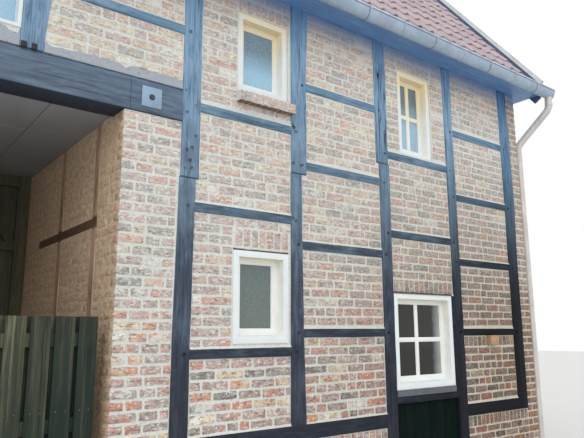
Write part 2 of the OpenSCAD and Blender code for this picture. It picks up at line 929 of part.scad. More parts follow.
// Outlet, slanted neck and wall pipe in that plane, with a ball at both elbows
module pipe_run(r, ball_r) {
    translate([0, 0, neck_top_z]) cylinder(r = r, h = gutter_z - neck_top_z);
    translate([0, 0, neck_top_z]) rotate([0, 180 - neck_turn, 0])
        cylinder(r = r, h = norm([neck_reach, neck_top_z - neck_foot_z]));
    translate([neck_reach, 0, pipe_foot_z]) cylinder(r = r, h = neck_foot_z - pipe_foot_z);
    translate([0, 0, neck_top_z]) sphere(r = ball_r);
    translate([neck_reach, 0, neck_foot_z]) sphere(r = ball_r);
}

// Clips reach from the gable wall round the pipe
module pipe_clips() {
    for (z = clip_z) difference() {
        union() {
            translate([pipe_x, pipe_y, z]) cylinder(r = pipe_r + clip_t, h = clip_h);
            block([x_out, pipe_x], [pipe_y - clip_arm_w / 2, pipe_y + clip_arm_w / 2], [z, z + clip_h]);
        }
        translate([pipe_x, pipe_y, z - 1]) cylinder(r = pipe_r - pipe_t / 2, h = clip_h + 2);
    }
}

// The outlet ends against the underside of the gutter
module downpipe() {
    inner_r = pipe_r - pipe_t;
    difference() {
        translate([outlet_x, gutter_y, 0]) rotate([0, 0, neck_facing]) difference() {
            pipe_run(pipe_r, pipe_r + elbow_swell);
            pipe_run(inner_r, inner_r + elbow_swell / 2);
        }
        translate([outlet_x - 2 * pipe_r, gutter_y, gutter_z]) rotate([0, 90, 0])
            cylinder(r = gutter_r, h = 4 * pipe_r);
    }
    pipe_clips();
}

module downpipes() {
    color("lightslategray") front_and_back() downpipe();
}

// Small pieces on the front

module tie_plate() {
    x = x_passage[1] + tie_plate_x;
    z = bressumer_z + (bressumer_face_h - tie_plate_w) / 2 + tie_plate_lift;
    middle = [x + tie_plate_w / 2, y_face - tie_plate_t, z + tie_plate_w / 2];
    color("dimgray") {
        block([x, x + tie_plate_w], [y_face - tie_plate_t, y_face], [z, z + tie_plate_w]);
        translate(middle) rotate([90, 0, 0]) cylinder(d = tie_bolt_d, h = tie_bolt_l);
    }
}

module wall_box() {
    x = new_right(3) + wall_box_x;
    z = plain_bay_rails[0] - wall_box_h;
    color("tan") block([x, x + wall_box_w], [y_face - wall_box_d, y_brick], [z, z + wall_box_h]);
}

plinths();
sill_beams();
front_posts_new();
front_posts_old();
back_posts();
front_rails();
back_rails();
bressumers();
wall_plates();
infill_over_passage();
bay_infill(0);  // infill_bay_1
bay_infill(1);  // infill_bay_2
bay_infill(2);  // infill_bay_3
bay_infill(3);  // infill_bay_4
back_infill();
brick_window_sills();
metal_window_sills();
piers();
passage_left_wall();
passage_right_wall();
passage_wall_timbers();
passage_ceiling();
passage_screen();
passage_fence();
ground_floor();
upper_floors();
left_gable_wall();
right_gable_wall();
window_over_passage();
window_upper_left();
window_upper_right();
window_lower_left();
window_lower_right();
back_windows();
gable_windows();
window_glass();
door_panels();
roof_front();
roof_back();
ridge_tiles();
front_barge_boards();
back_barge_boards();
eaves_boxes();
gutters();
downpipes();
tie_plate();
wall_box();
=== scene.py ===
"""Half timbered house: the bricks, timbers, windows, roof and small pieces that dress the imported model."""

import math
import random
from functools import cached_property, partialmethod

import bmesh
import bpy
import numpy as np
from bpy.props import FloatProperty, FloatVectorProperty, IntProperty, PointerProperty
from mathutils import Euler, Matrix, Vector


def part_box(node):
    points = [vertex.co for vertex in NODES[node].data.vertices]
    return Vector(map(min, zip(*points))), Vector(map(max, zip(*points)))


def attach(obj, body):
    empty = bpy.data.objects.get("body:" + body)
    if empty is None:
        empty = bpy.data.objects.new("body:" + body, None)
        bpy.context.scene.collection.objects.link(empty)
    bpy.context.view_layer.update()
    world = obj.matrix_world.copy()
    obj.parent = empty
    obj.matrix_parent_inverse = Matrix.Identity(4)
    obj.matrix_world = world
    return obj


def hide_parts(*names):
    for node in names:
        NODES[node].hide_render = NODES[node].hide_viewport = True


bl_info = {
    "name": "Half timbered house",
    "version": (1, 0, 0),
    "blender": (4, 5, 0),
    "location": "View3D > Sidebar > House",
    "description": "Dresses a packed half timbered house with bricks, timbers, windows, tiles and rainwater goods",
    "category": "Add Mesh",
}

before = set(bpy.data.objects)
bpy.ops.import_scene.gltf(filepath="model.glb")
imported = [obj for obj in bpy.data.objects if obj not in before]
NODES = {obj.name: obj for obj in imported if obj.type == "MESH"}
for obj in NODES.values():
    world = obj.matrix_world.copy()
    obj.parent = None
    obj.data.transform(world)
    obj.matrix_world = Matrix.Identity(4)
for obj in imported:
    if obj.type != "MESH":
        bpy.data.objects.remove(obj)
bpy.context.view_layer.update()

Z_AXIS = Vector((0, 0, 1))
FRONT_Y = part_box("front_posts_new")[0].y
BRICK_Y = -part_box("infill_bay_1")[0].y
HOUSE_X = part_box("right_gable_wall")[1].x
PASSAGE_X = (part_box("passage_left_wall")[1].x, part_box("passage_right_wall")[0].x)
WALL_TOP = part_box("piers")[1].z
ROOF_LOW, ROOF_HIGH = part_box("roof_front")
PITCH = math.radians(52)
ROOF_RUN = 3.0
BEAM_FOOT, BEAM_TOP = (corner.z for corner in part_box("bressumers"))
# Heights over which the bressumer's underside takes painted shade
BEAM_UNDERSIDE = (BEAM_FOOT + 0.01, BEAM_FOOT + 0.003)

# The modelled bricks, which are scaled a little to fit their places
WHOLE, HALF, BRICK_HIGH = 0.213, 0.105, 0.064
CORNER_LONG, CORNER_SHORT = 0.2, 0.1
SOLDIER = 0.118

# The panels' nodes, with the names of their pieces and how many smears, dark bricks and warm bricks each has. Fewer
# smears and more dark bricks towards the right end are partly painted shade.
PANELS = {
    "infill_over_passage": ("over_passage", 0.4, 0.05, 0.5),
    "infill_bay_1": ("bay_1", 0.4, 0.1, 0.16),
    "infill_bay_2": ("bay_2", 0.38, 0.12, 0.2),
    "infill_bay_3": ("bay_3", 0.34, 0.24, 0.16),
    "infill_bay_4": ("bay_4", 0.22, 0.36, 0.1),
    "back_infill": ("back_panels", 0.35, 0.12, 0.16),
}


# Modelling helpers

def deselect():
    """Leaves edit mode and selects nothing."""
    if bpy.context.object and bpy.context.object.mode != "OBJECT":
        bpy.ops.object.mode_set(mode="OBJECT")
    bpy.ops.object.select_all(action="DESELECT")


def activate(obj):
    """Makes one object the only selected one."""
    deselect()
    obj.select_set(True)
    bpy.context.view_layer.objects.active = obj
    return obj


def select_all():
    bpy.ops.mesh.select_all(action="SELECT")


def apply_place():
    """Applies the active object's place, turn and scale to its mesh."""
    bpy.ops.object.transform_apply(location=True, rotation=True, scale=True)


def face_outward():
    """Turns all normals of the edited mesh outward."""
    select_all()
    bpy.ops.mesh.normals_make_consistent(inside=False)


def bevel(width, segments=2):
    bpy.ops.mesh.bevel(offset=width, segments=segments, affect="EDGES")


def push(step):
    bpy.ops.transform.translate(value=step)


def extrude(step):
    bpy.ops.mesh.extrude_region_move(TRANSFORM_OT_translate={"value": step})


def shake(offset, seed):
    """Moves the selected vertices a little, each its own way."""
    bpy.ops.transform.vertex_random(offset=offset, uniform=0.0, normal=0.0, seed=seed)


def steady():
    """Orders the selected vertices by place, so that a shake moves them the same way each run."""
    bpy.context.scene.cursor.location = (-97, -31, -13)
    bpy.ops.mesh.sort_elements(type="CURSOR_DISTANCE", elements={"VERT"})


def flatten(y):
    """Brings the selected vertices to one distance from the front."""
    bpy.ops.transform.resize(value=(1, 0, 1), center_override=(0, y, 0))


def at(x, y, z):
    return Matrix.Translation((x, y, z))


def spin(angle, axis):
    return Matrix.Rotation(angle, 4, axis)


class editing:
    """Edit mode on one object, for a with block."""

    def __init__(self, obj):
        self.obj = obj

    def __enter__(self):
        activate(self.obj)
        bpy.ops.object.mode_set(mode="EDIT")
        return self.obj

    def __exit__(self, *error):
        bpy.ops.object.mode_set(mode="OBJECT")


def pick(kind, test):
    """Selects the vertices, edges or faces of the edited mesh that pass a test, and counts them."""
    bpy.ops.mesh.select_mode(type=kind)
    bpy.ops.mesh.select_all(action="DESELECT")
    mesh = bpy.context.edit_object.data
    shape = bmesh.from_edit_mesh(mesh)
    shape.normal_update()
    items = {"VERT": shape.verts, "EDGE": shape.edges, "FACE": shape.faces}[kind]
    count = 0
    for item in items:
        if test(item):
            item.select_set(True)
            count += 1
    shape.select_flush_mode()
    bmesh.update_edit_mesh(mesh)
    return count


def runs_along(edge, axis):
    """True for an edge parallel to one axis."""
    step = edge.verts[1].co - edge.verts[0].co
    return abs(step[axis]) > 0.99 * step.length


def block(low, high):
    """A box from one corner to the other, to be shaped further."""
    low, high = Vector(low), Vector(high)
    deselect()
    bpy.ops.mesh.primitive_cube_add(size=1, location=(low + high) / 2)
    obj = bpy.context.active_object
    obj.scale = high - low
    apply_place()
    return obj


def eased_block(low, high, edge=0.003, segments=2):
    """A box whose edges are all eased."""
    obj = block(low, high)
    with editing(obj):
        select_all()
        bevel(edge, segments)
    return obj


def chain(points):
    """A line of edges drawn from point to point."""
    deselect()
    bpy.ops.mesh.primitive_plane_add(size=0.01, location=points[0])
    obj = bpy.context.active_object
    apply_place()
    with editing(obj):
        pick("VERT", lambda v: v.index > 0)
        bpy.ops.mesh.delete(type="VERT")
        select_all()
        push(Vector(points[0]) - bmesh.from_edit_mesh(obj.data).verts[:][0].co)
        for start, end in zip(points, points[1:]):
            bpy.ops.mesh.extrude_vertices_move(TRANSFORM_OT_translate={"value": Vector(end) - Vector(start)})
    return obj


def prism(points, along, cuts=0, edge=0.0):
    """A closed profile drawn point by point, filled, and extruded along a vector."""
    obj = chain(points)
    along = Vector(along)
    with editing(obj):
        select_all()
        bpy.ops.mesh.edge_face_add()
        bpy.ops.mesh.select_mode(type="FACE")
        select_all()
        extrude(along)
        way = along.normalized()
        if cuts:
            pick("EDGE", lambda e: abs((e.verts[1].co - e.verts[0].co).normalized().dot(way)) > 0.99)
            bpy.ops.mesh.subdivide(number_cuts=cuts)
        if edge:
            pick("EDGE", lambda e: abs((e.verts[1].co - e.verts[0].co).normalized().dot(way)) > 0.99)
            bevel(edge, 2)
        face_outward()
    return obj


def strip(points, along, thickness, cuts=0):
    """A profile line extruded along a vector and given a thickness."""
    obj = chain(points)
    with editing(obj):
        bpy.ops.mesh.select_mode(type="EDGE")
        select_all()
        extrude(Vector(along))
        face_outward()
    wall = obj.modifiers.new("Wall", "SOLIDIFY")
    wall.thickness = thickness
    wall.offset = 0
    apply_modifiers(obj)
    return obj


def ring(low, high, width, edge=0.003):
    """A rectangular frame that faces the front: a box whose front and back are inset and bridged."""
    obj = block(low, high)
    with editing(obj):
        pick("FACE", lambda f: abs(f.normal.y) > 0.9)
        bpy.ops.mesh.inset(thickness=width, use_individual=True)
        bpy.ops.mesh.bridge_edge_loops()
        pick("EDGE", lambda e: e.calc_face_angle(0) > 0.5)
        bevel(edge, 2)
        face_outward()
    return obj


def apply_modifiers(obj):
    activate(obj)
    for modifier in list(obj.modifiers):
        bpy.ops.object.modifier_apply(modifier=modifier.name)
    return obj


def join(parts, name="part"):
    """One object of several."""
    deselect()
    for part in parts:
        part.select_set(True)
    bpy.context.view_layer.objects.active = parts[0]
    if len(parts) > 1:
        bpy.ops.object.join()
    obj = bpy.context.view_layer.objects.active
    obj.name = obj.data.name = name
    return obj


def moved(obj, matrix):
    """Applies a place and turn to an object's mesh."""
    activate(obj)
    obj.matrix_world = matrix @ obj.matrix_world
    apply_place()
    return obj


def settle(obj, slot, materials, *replaced, smooth=35):
    """Finishes a piece: its shading, its finish, the solids it stands for and the body it rides on."""
    activate(obj)
    apply_place()
    bpy.ops.object.shade_smooth_by_angle(angle=math.radians(smooth))
    if not isinstance(materials, (list, tuple)):
        materials = [materials]
    indices = np.zeros(len(obj.data.polygons), np.int32)
    obj.data.polygons.foreach_get("material_index", indices)
    obj.data.materials.clear()
    for material in materials:
        obj.data.materials.append(material)
    obj.data.polygons.foreach_set("material_index", indices)
    if replaced:
        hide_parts(*replaced)
    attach(obj, "root")
    return obj


def paint_nodes(material, *nodes):
    """Gives solids whose shape is right a better finish."""
    for name in nodes:
        slots = NODES[name].material_slots
        if not slots:
            NODES[name].data.materials.append(material)
        for slot in NODES[name].material_slots:
            slot.material = material


def corners_of(node):
    """The corners and triangles of a solid's mesh."""
    mesh = NODES[node].data
    points = np.empty(len(mesh.vertices) * 3)
    mesh.vertices.foreach_get("co", points)
    mesh.calc_loop_triangles()
    triangles = np.empty(len(mesh.loop_triangles) * 3, np.int32)
    mesh.loop_triangles.foreach_get("vertices", triangles)
    return points.reshape(-1, 3), triangles.reshape(-1, 3)


def solids(node):
    """Lowest and highest corner of each separate solid in a node, from left to right and from low to high."""
    points, triangles = corners_of(node)
    unique, index = np.unique(np.round(points, 4), axis=0, return_inverse=True)
    index = index.reshape(-1)
    leader = list(range(len(unique)))

    def head(i):
        while leader[i] != i:
            leader[i] = leader[leader[i]]
            i = leader[i]
        return i

    for a, b, c in index[triangles]:
        leader[head(b)] = head(a)
        leader[head(c)] = head(a)
    groups = {}
    for i in range(len(unique)):
        groups.setdefault(head(i), []).append(i)
    boxes = [(Vector(unique[ids].min(0)), Vector(unique[ids].max(0))) for ids in groups.values()]
    return sorted(boxes, key=lambda b: (round(b[0].y, 1), round(b[0].x, 2), round(b[0].z, 2)))


def fill(mesh, **values):
    """Gives attributes one value each over a whole mesh."""
    for key, value in values.items():
        mesh.attributes[key].data.foreach_set("value", np.full(len(mesh.vertices), value, np.float32))


def stamp(placements, name):
    """Copies of modelled masters, each with its own mesh, set at their places and joined."""
    parts = []
    for master, matrix, tone, smear in placements:
        mesh = master.data.copy()
        mesh.transform(matrix)
        fill(mesh, tone=tone, smear=smear)
        copy = bpy.data.objects.new("copy", mesh)
        bpy.context.scene.collection.objects.link(copy)
        parts.append(copy)
    return join(parts, name)


def mark_tone(obj):
    """Adds the attributes that hold a copy's own tone and dirt, and where its rim is."""
    for key in ("tone", "smear", "rim"):
        obj.data.attributes.new(key, "FLOAT", "POINT")
    return obj


def drop(objects):
    """Removes masters that were only copied."""
    for obj in objects:
        bpy.data.objects.remove(obj)


# Materials

def scaled(colour, part):
    """A colour made darker or paler."""
    return [value * part for value in colour]


class Recipe:
    """One shader tree in the making, and the colour laid so far. A value may be a number, a colour or a socket."""

    def __init__(self, tree, place=None, colour=None):
        self.tree, self.place, self.colour = tree, place, colour

    def feed(self, socket, value):
        """Links or sets one socket."""
        if isinstance(value, bpy.types.NodeSocket):
            self.tree.links.new(value, socket)
        else:
            socket.default_value = value

    def put(self, kind, inputs=None, **settings):
        """Adds a shader node with its properties and its inputs by name, and gives its outputs."""
        node = self.tree.nodes.new("ShaderNode" + kind)
        for key, value in settings.items():
            setattr(node, key, value)
        for key, value in (inputs or {}).items():
            self.feed(node.inputs[key], value)
        return node.outputs

    def maths(self, kind, *values):
        return self.put("Math", dict(enumerate(values)), operation=kind)[0]

    times = partialmethod(maths, "MULTIPLY")
    plus = partialmethod(maths, "ADD")
    minus = partialmethod(maths, "SUBTRACT")
    most = partialmethod(maths, "MAXIMUM")
    size = partialmethod(maths, "ABSOLUTE")

    @cached_property
    def axes(self):
        """X, Y and Z of the place."""
        return self.put("SeparateXYZ", {"Vector": self.place})

    def ramp(self, factor, stops):
        """A colour ramp with its stops."""
        node = self.tree.nodes.new("ShaderNodeValToRGB")
        self.feed(node.inputs["Fac"], factor)
        elements = node.color_ramp.elements
        while len(elements) < len(stops):
            elements.new(0.5)
        for element, (place, colour) in zip(elements, stops):
            element.position = place
            element.color = (*colour[:3], 1)
        return node.outputs["Color"]

    def lay(self, factor, colour, kind="MIX"):
        """Lays one more colour over what is there."""
        inputs = {0: factor}
        for index, value in ((6, self.colour), (7, colour)):
            inputs[index] = value if isinstance(value, bpy.types.NodeSocket) else (*value[:3], 1)
        self.colour = self.put("Mix", inputs, data_type="RGBA", blend_type=kind)[2]

    def span(self, value, low, high, to_low=0.0, to_high=1.0):
        """Maps a value from one span to another, held at its ends."""
        inputs = {"Value": value, "From Min": low, "From Max": high, "To Min": to_low, "To Max": to_high}
        return self.put("MapRange", inputs)["Result"]

    def stretched(self, place, scale):
        return self.put("Mapping", {"Vector": place, "Scale": scale})["Vector"]

    def noise(self, place, scale, detail=3.0, rough=0.6, distortion=0.0):
        """Noise of one scale, or of a scale for each axis."""
        if isinstance(scale, tuple):
            place, scale = self.stretched(place, scale), 1.0
        inputs = {"Vector": place, "Scale": scale, "Detail": detail, "Roughness": rough, "Distortion": distortion}
        return self.put("TexNoise", inputs)["Fac"]

    def used(self, group, **inputs):
        """Places an effect with its own values."""
        return self.put("Group", {"Vector": self.place, **inputs}, node_tree=group)

    def along(self, upright):
        """The place, turned so that its Z follows the timber."""
        if upright:
            return self.place
        return self.put("Mapping", {"Vector": self.place, "Rotation": (0, math.pi / 2, 0)})["Vector"]

    def grain(self, fineness, cracks, **place):
        return self.used(grain_effect(), Fineness=fineness, Cracks=cracks, **place)

    def weather(self, size, amount):
        return self.used(weather_effect(), Size=size, Amount=amount)


class Finish(Recipe):
    """A material in the making, in object coordinates, with plain values for its shader."""

    def __init__(self, name, colour=None, **shader):
        self.material = bpy.data.materials.new(name)
        self.material.use_nodes = True
        super().__init__(self.material.node_tree, colour=colour)
        self.bsdf = self.tree.nodes["Principled BSDF"]
        for key, value in shader.items():
            self.bsdf.inputs[key.replace("_", " ")].default_value = value
        self.place = self.put("TexCoord")["Object"]

    def close(self, rough=None, height=None, distance=0.003, strength=0.5):
        """Feeds colour, roughness and bump into the shader, and gives the material."""
        self.feed(self.bsdf.inputs["Base Color"], self.colour)
        if rough is not None:
            self.feed(self.bsdf.inputs["Roughness"], rough)
        if height is not None:
            bump = self.put("Bump", {"Strength": strength, "Distance": distance, "Height": height})
            self.feed(self.bsdf.inputs["Normal"], bump["Normal"])
        return self.material


def effect(name, inputs, outputs, build):
    """A shader node group on a vector and some values, built once by a function that gives its outputs."""
    group = bpy.data.node_groups.get(name)
    if group:
        return group
    group = bpy.data.node_groups.new(name, "ShaderNodeTree")
    group.interface.new_socket("Vector", in_out="INPUT", socket_type="NodeSocketVector")
    for label, default in inputs.items():
        group.interface.new_socket(label, in_out="INPUT", socket_type="NodeSocketFloat").default_value = default
    for label in outputs:
        group.interface.new_socket(label, in_out="OUTPUT", socket_type="NodeSocketFloat")
    given, end = group.nodes.new("NodeGroupInput").outputs, group.nodes.new("NodeGroupOutput")
    recipe = Recipe(group, given["Vector"])
    for label, value in zip(outputs, build(recipe, given)):
        recipe.feed(end.inputs[label], value)
    return group


def grain_effect():
    """Wood grain, cracks and their height, along the Z of the vector it is given."""

    def build(t, given):
        place = t.put("VectorMath", {0: t.place, "Scale": given["Fineness"]}, operation="SCALE")[0]
        long_noise = t.noise(place, (32, 32, 2.4), 6, 0.66, 0.5)
        fine_noise = t.noise(place, (160, 160, 4.0), 3, 0.6)
        gaps = t.noise(place, (30, 30, 0.9), 2, 0.5, 0.3)
        crack = t.span(t.size(t.minus(gaps, 0.5)), 0.004, 0.014, 1.0, 0.0)
        patches = t.span(t.noise(place, 2.2, 2), 0.5, 0.62)
        crack = t.times(t.times(crack, patches), given["Cracks"])
        grain = t.plus(t.times(long_noise, 0.65), t.times(fine_noise, 0.35))
        return grain, crack, t.minus(grain, t.times(crack, 1.5))

    return effect("Wood grain", {"Fineness": 1.0, "Cracks": 0.5}, ("Grain", "Crack", "Height"), build)


def weather_effect():
    """Blotches of weathering, from broad to fine."""

    def build(t, given):
        place = t.put("VectorMath", {0: t.place, "Scale": given["Size"]}, operation="SCALE")[0]
        broad = t.span(t.noise(place, 1.6, 5, 0.65), 0.38, 0.68)
        return t.times(broad, given["Amount"]), t.noise(place, 60.0, 4, 0.7)

    return effect("Weathering", {"Size": 1.0, "Amount": 0.5}, ("Mask", "Speckle"), build)


def shade_and_passage_effect():
    """Masks for painted shade, low towards the right end, on the strip beside the right corner and under the eaves; and
    a mask for the passage walls, which get dirt and painted light.
    """

    def build(t, given):
        x, z, deep = t.axes["X"], t.axes["Z"], t.size(t.axes["Y"])
        # Painted shade: darker low down and towards the right end, fullest on the front and back faces
        shadowed = t.times(t.span(x, -0.2, 3.3), t.span(z, 3.95, 1.8, 0, 0.87))
        shadowed = t.times(shadowed, t.span(deep, BRICK_Y - 0.5, BRICK_Y - 0.05, 0.4, 1))
        # Painted shadow on the last strip of the front and back walls before the right corner
        corner = t.span(x, HOUSE_X - 0.28, HOUSE_X - 0.2, 0, 0.5)
        corner = t.times(corner, t.span(deep, BRICK_Y - 0.12, BRICK_Y - 0.06))
        # Painted shade of the eaves on the tops of the front and back walls
        eaves = t.times(t.span(z, 4.2, 4.72), t.span(deep, BRICK_Y - 0.08, BRICK_Y - 0.03))
        middle, half = sum(PASSAGE_X) / 2, (PASSAGE_X[1] - PASSAGE_X[0]) / 2
        # The passage walls: where their dirt, their warm tint and their painted light lie
        dirt_and_light = t.span(t.size(t.minus(x, middle)), half + 0.02, half + 0.012)
        dirt_and_light = t.times(dirt_and_light, t.span(deep, BRICK_Y - 0.003, BRICK_Y - 0.014))
        return t.most(shadowed, corner), eaves, dirt_and_light

    return effect("Painted shade and passage", {}, ("Darkened", "Eaves", "Dirt and light"), build)


def shade_and_soil(t, look, shadowed):
    """Lays painted shade low towards the right and under the eaves, the soffit's painted blue shade, and the passage
    walls' painted light, grime and warm tint over brick or mortar.
    """
    where = t.used(shade_and_passage_effect())
    # Painted shade low towards the right end
    t.lay(where["Darkened"], shadowed, "MULTIPLY")
    # Painted shade under the eaves, and the soffit's painted blue shade on the topmost bricks
    t.lay(where["Eaves"], look.shade, "MULTIPLY")
    t.lay(t.span(where["Eaves"], 0.55, 0.98, 0, 0.88), look.soffit_shade)
    # Painted light on the passage walls
    t.lay(t.times(where["Dirt and light"], 0.6), (1.0, 0.98, 0.94))
    grime = t.span(t.noise(t.place, (16, 16, 26), 5, 0.8), 0.46, 0.6, 0, 0.5)
    t.lay(t.times(where["Dirt and light"], grime), (0.42, 0.26, 0.16))
    # Warm tint of the passage walls, partly dirt and partly painted light
    t.lay(where["Dirt and light"], look.dirt_and_light, "MULTIPLY")


def brick_material(look):
    """Reclaimed bricks: a tone for each, streaks of other firings, lime specks, mortar over ragged rims, painted shadow
    along some rims, and painted light that pales them with height.
    """
    t = Finish("Reclaimed brick", Roughness=0.92)
    tone, smear, rim = (t.put("Attribute", attribute_name=key)["Fac"] for key in ("tone", "smear", "rim"))
    own = t.put("VectorMath", {0: t.place, 1: t.times(tone, 17.0)}, operation="ADD")[0]
    height = t.axes["Z"]
    blotch, broad = t.noise(own, 30, 4, 0.75), t.noise(own, 9, 1)
    shift = t.plus(t.span(blotch, 0.3, 0.7, -0.09, 0.09), t.span(broad, 0.35, 0.65, -0.1, 0.1))
    t.colour = t.ramp(t.plus(tone, shift), [
        (0.0, look.plum), (0.08, look.moss), (0.18, look.brown), (0.31, look.grey), (0.45, look.rose), (0.57, look.red),
        (0.66, look.orange), (0.76, look.buff), (0.88, look.yellow), (0.97, look.white),
    ])
    t.lay(t.span(t.noise(own, 11, 2), 0.62, 0.7, 0, 0.5), look.red)
    # Painted light: the bricks grow paler and greyer with height
    height_light = t.span(height, 1.0, 2.4, 0, look.height_light)
    t.lay(t.times(height_light, 1.1), look.grey)
    t.lay(height_light, look.mortar)
    # Painted shadow along some brick rims, laid with dark streaks that grow stronger lower down
    shadow = t.times(rim, t.span(t.noise(t.place, 30, 2), 0.48, 0.58, 0, 0.55))
    dark = t.span(t.noise(own, (22, 22, 56), 3, 0.7), 0.52, 0.64)
    dark = t.most(t.times(dark, t.span(height, 3.4, 1.8, 0.5, 0.8)), shadow)
    t.lay(dark, look.plum)
    light = t.span(t.noise(own, (30, 30, 54), 3, 0.7), 0.53, 0.62, 0, 0.65)
    t.lay(light, look.white)
    edge = t.plus(t.times(rim, 0.22), t.noise(own, 50, 4, 0.8))
    cover = t.minus(t.noise(t.place, 15, 6, 0.8), t.span(smear, 0, 1, 0.7, 0.42))
    t.lay(t.most(t.span(cover, 0.0, 0.09, 0, 0.75), t.span(edge, 0.7, 0.78, 0, 0.9)), look.mortar)
    shade_and_soil(t, look, look.shadowed)
    rise = t.minus(t.plus(blotch, t.times(light, 0.3)), t.times(dark, 0.8))
    return t.close(t.span(blotch, 0.2, 0.8, 0.85, 0.97), rise, 0.006, 0.7)


def mortar_material(name, mortar, look):
    """Pale lime mortar with sand grains, darker weathered patches and small holes."""
    t = Finish(name, mortar, Roughness=0.95)
    weather = t.weather(1.3, 0.7)
    t.lay(weather["Mask"], scaled(mortar, 0.88))
    t.lay(t.times(t.span(weather["Speckle"], 0.35, 0.65), 0.3), scaled(mortar, 0.62))
    t.lay(t.span(t.noise(t.place, 75, 3, 0.8), 0.55, 0.66, 0, 0.5), look.brown)
    holes = t.span(t.noise(t.place, 38, 4, 0.7), 0.62, 0.7, 0, 0.6)
    t.lay(holes, scaled(mortar, 0.4))
    shade_and_soil(t, look, look.shadowed_mortar)
    return t.close(None, t.minus(weather["Speckle"], holes), 0.006, 0.7)


def timber_material(name, look, upright, cracks=0.6, rough=0.62, dull=(1, 1, 1), contrast=1.0):
    """Stained timber with its grain lengthwise: near black low down, rising to a painted blue grey sky sheen towards
    the eaves, with painted shade under the eaves, at the right end and low towards the right.
    """
    t = Finish(name, Roughness=rough, Specular_IOR_Level=0.12)
    turned = t.along(upright)
    grain = t.grain(0.8, cracks, Vector=turned)
    x, z = t.axes["X"], t.axes["Z"]
    height = t.plus(z, t.span(t.weather(2.2, 1.0)["Mask"], 0, 1, -0.22, 0.22))
    # From the near black stained oak at the foot to a painted blue grey sky sheen high up
    shades = ((0.9, look.foot), (1.5, look.low), (2.1, look.knee), (2.45, look.middle),
              (2.95, look.upper), (3.9, look.high))
    stops = [((level - 0.9) / 3.0, [value * part for value, part in zip(shade, dull)]) for level, shade in shades]
    t.colour = t.ramp(t.span(height, 0.9, 3.9), stops)
    patches = t.span(t.noise(t.stretched(turned, (3, 3, 1)), 3.2, 4, 0.65, 0.6), 0.5, 0.62, 0, 0.4)
    pale = t.most(t.span(grain["Grain"], 0.53, 0.66, 0, 0.5), patches)
    t.lay(t.times(pale, t.span(height, 0.9, 3.9, 0.1, 0.9 * contrast)), look.worn)
    t.lay(t.span(grain["Grain"], 0.51, 0.38, 0, 0.6 * contrast), scaled(look.low, 0.5))
    for low, high in solids("front_posts_new") if upright else []:
        across, level = t.size(t.minus(x, (low.x + high.x) / 2)), t.size(t.minus(z, high.z))
        t.lay(t.times(t.span(across, 0.2, 0.18), t.span(level, 0.009, 0.006, 0, 0.75)), look.foot)
    # Painted shade on the bressumer's underside
    if contrast < 1:
        t.lay(t.span(z, *BEAM_UNDERSIDE), look.low)
    # Painted shade under the eaves
    t.lay(t.used(shade_and_passage_effect())["Eaves"], look.shade, "MULTIPLY")
    # Painted shade at the right end
    t.lay(t.span(x, 2.9, 3.8), look.far, "MULTIPLY")
    # Painted shade low down towards the right
    t.lay(t.times(t.span(x, 0.6, 3.2), t.span(z, 3.9, 2.0, 0, 0.94)), scaled(look.foot, 0.15))
    t.lay(grain["Crack"], scaled(look.foot, 0.3))
    return t.close(t.span(grain["Grain"], 0.35, 0.65, rough + 0.15, rough - 0.05), grain["Height"], 0.005, 0.7)


def oak_material(name, colour, pale):
    """Old bare oak, cracked, pale but for the level rail."""
    t = Finish(name, pale, Roughness=0.8)
    grain = t.grain(1.0, 0.9)
    t.lay(t.times(t.span(t.axes["Z"], 2.46, 2.48), t.span(t.axes["Z"], 2.575, 2.555)), colour)
    t.lay(t.span(grain["Grain"], 0.55, 0.38, 0, 0.7), scaled(colour, 0.45))
    t.lay(grain["Crack"], scaled(colour, 0.2))
    return t.close(None, grain["Height"], 0.005, 0.7)


def board_material(name, colours, upright=True, pitch=0.0, rough=0.6, across="X", gloss=0.5):
    """Painted or stained boards: a shade for each board, grain and worn patches."""
    t = Finish(name, colours[0], Roughness=rough, Specular_IOR_Level=gloss)
    grain = t.grain(1.3, 0.3, Vector=t.along(upright))
    if pitch:
        number = t.maths("FLOOR", t.maths("DIVIDE", t.axes[across], pitch))
        t.lay(t.put("TexWhiteNoise", {"W": number}, noise_dimensions="1D")["Value"], colours[1])
    t.lay(t.weather(1.6, 0.8)["Mask"], colours[1])
    dark = scaled(colours[0], 0.45)
    t.lay(t.span(grain["Grain"], 0.35, 0.6, 0.6, 0.0), dark)
    t.lay(grain["Crack"], dark)
    return t.close(None, grain["Height"], 0.003, 0.5)


def fence_material(look):
    """Dark green boards, streaked with weather and worn to bare wood towards the gate end."""
    t = Finish("Fence wood", look.fence, Roughness=0.75, Specular_IOR_Level=0.25)
    grain = t.grain(1.0, 0.7)
    streak = t.noise(t.place, (26, 26, 0.7), 5, 0.65)
    streak = t.plus(streak, t.span(t.axes["X"], -1.5, -2.1, -0.01, 0.24))
    t.lay(t.span(streak, 0.5, 0.68, 0, 0.9), look.fence_pale)
    t.lay(t.span(streak, 0.66, 0.78, 0, 0.7), scaled(look.fence_pale, 2.2))
    t.lay(t.span(grain["Grain"], 0.5, 0.38, 0, 0.7), scaled(look.fence, 0.4))
    t.lay(grain["Crack"], scaled(look.fence, 0.2))
    # Darker towards the bottom
    t.lay(t.span(t.axes["Z"], 1.7, 0.9, 0, 0.7), look.fence_low)
    return t.close(None, grain["Height"], 0.004, 0.6)


def stone_material(name, colour, patch, size=1.0, rough=0.85, distance=0.002):
    """Concrete, cement sheet and other even mineral surfaces."""
    t = Finish(name, colour, Roughness=rough)
    weather = t.weather(size, 0.9)
    t.lay(weather["Mask"], patch)
    t.lay(t.span(weather["Speckle"], 0.45, 0.75, 0, 0.3), scaled(colour, 0.6))
    return t.close(None, weather["Speckle"], distance, 0.4)


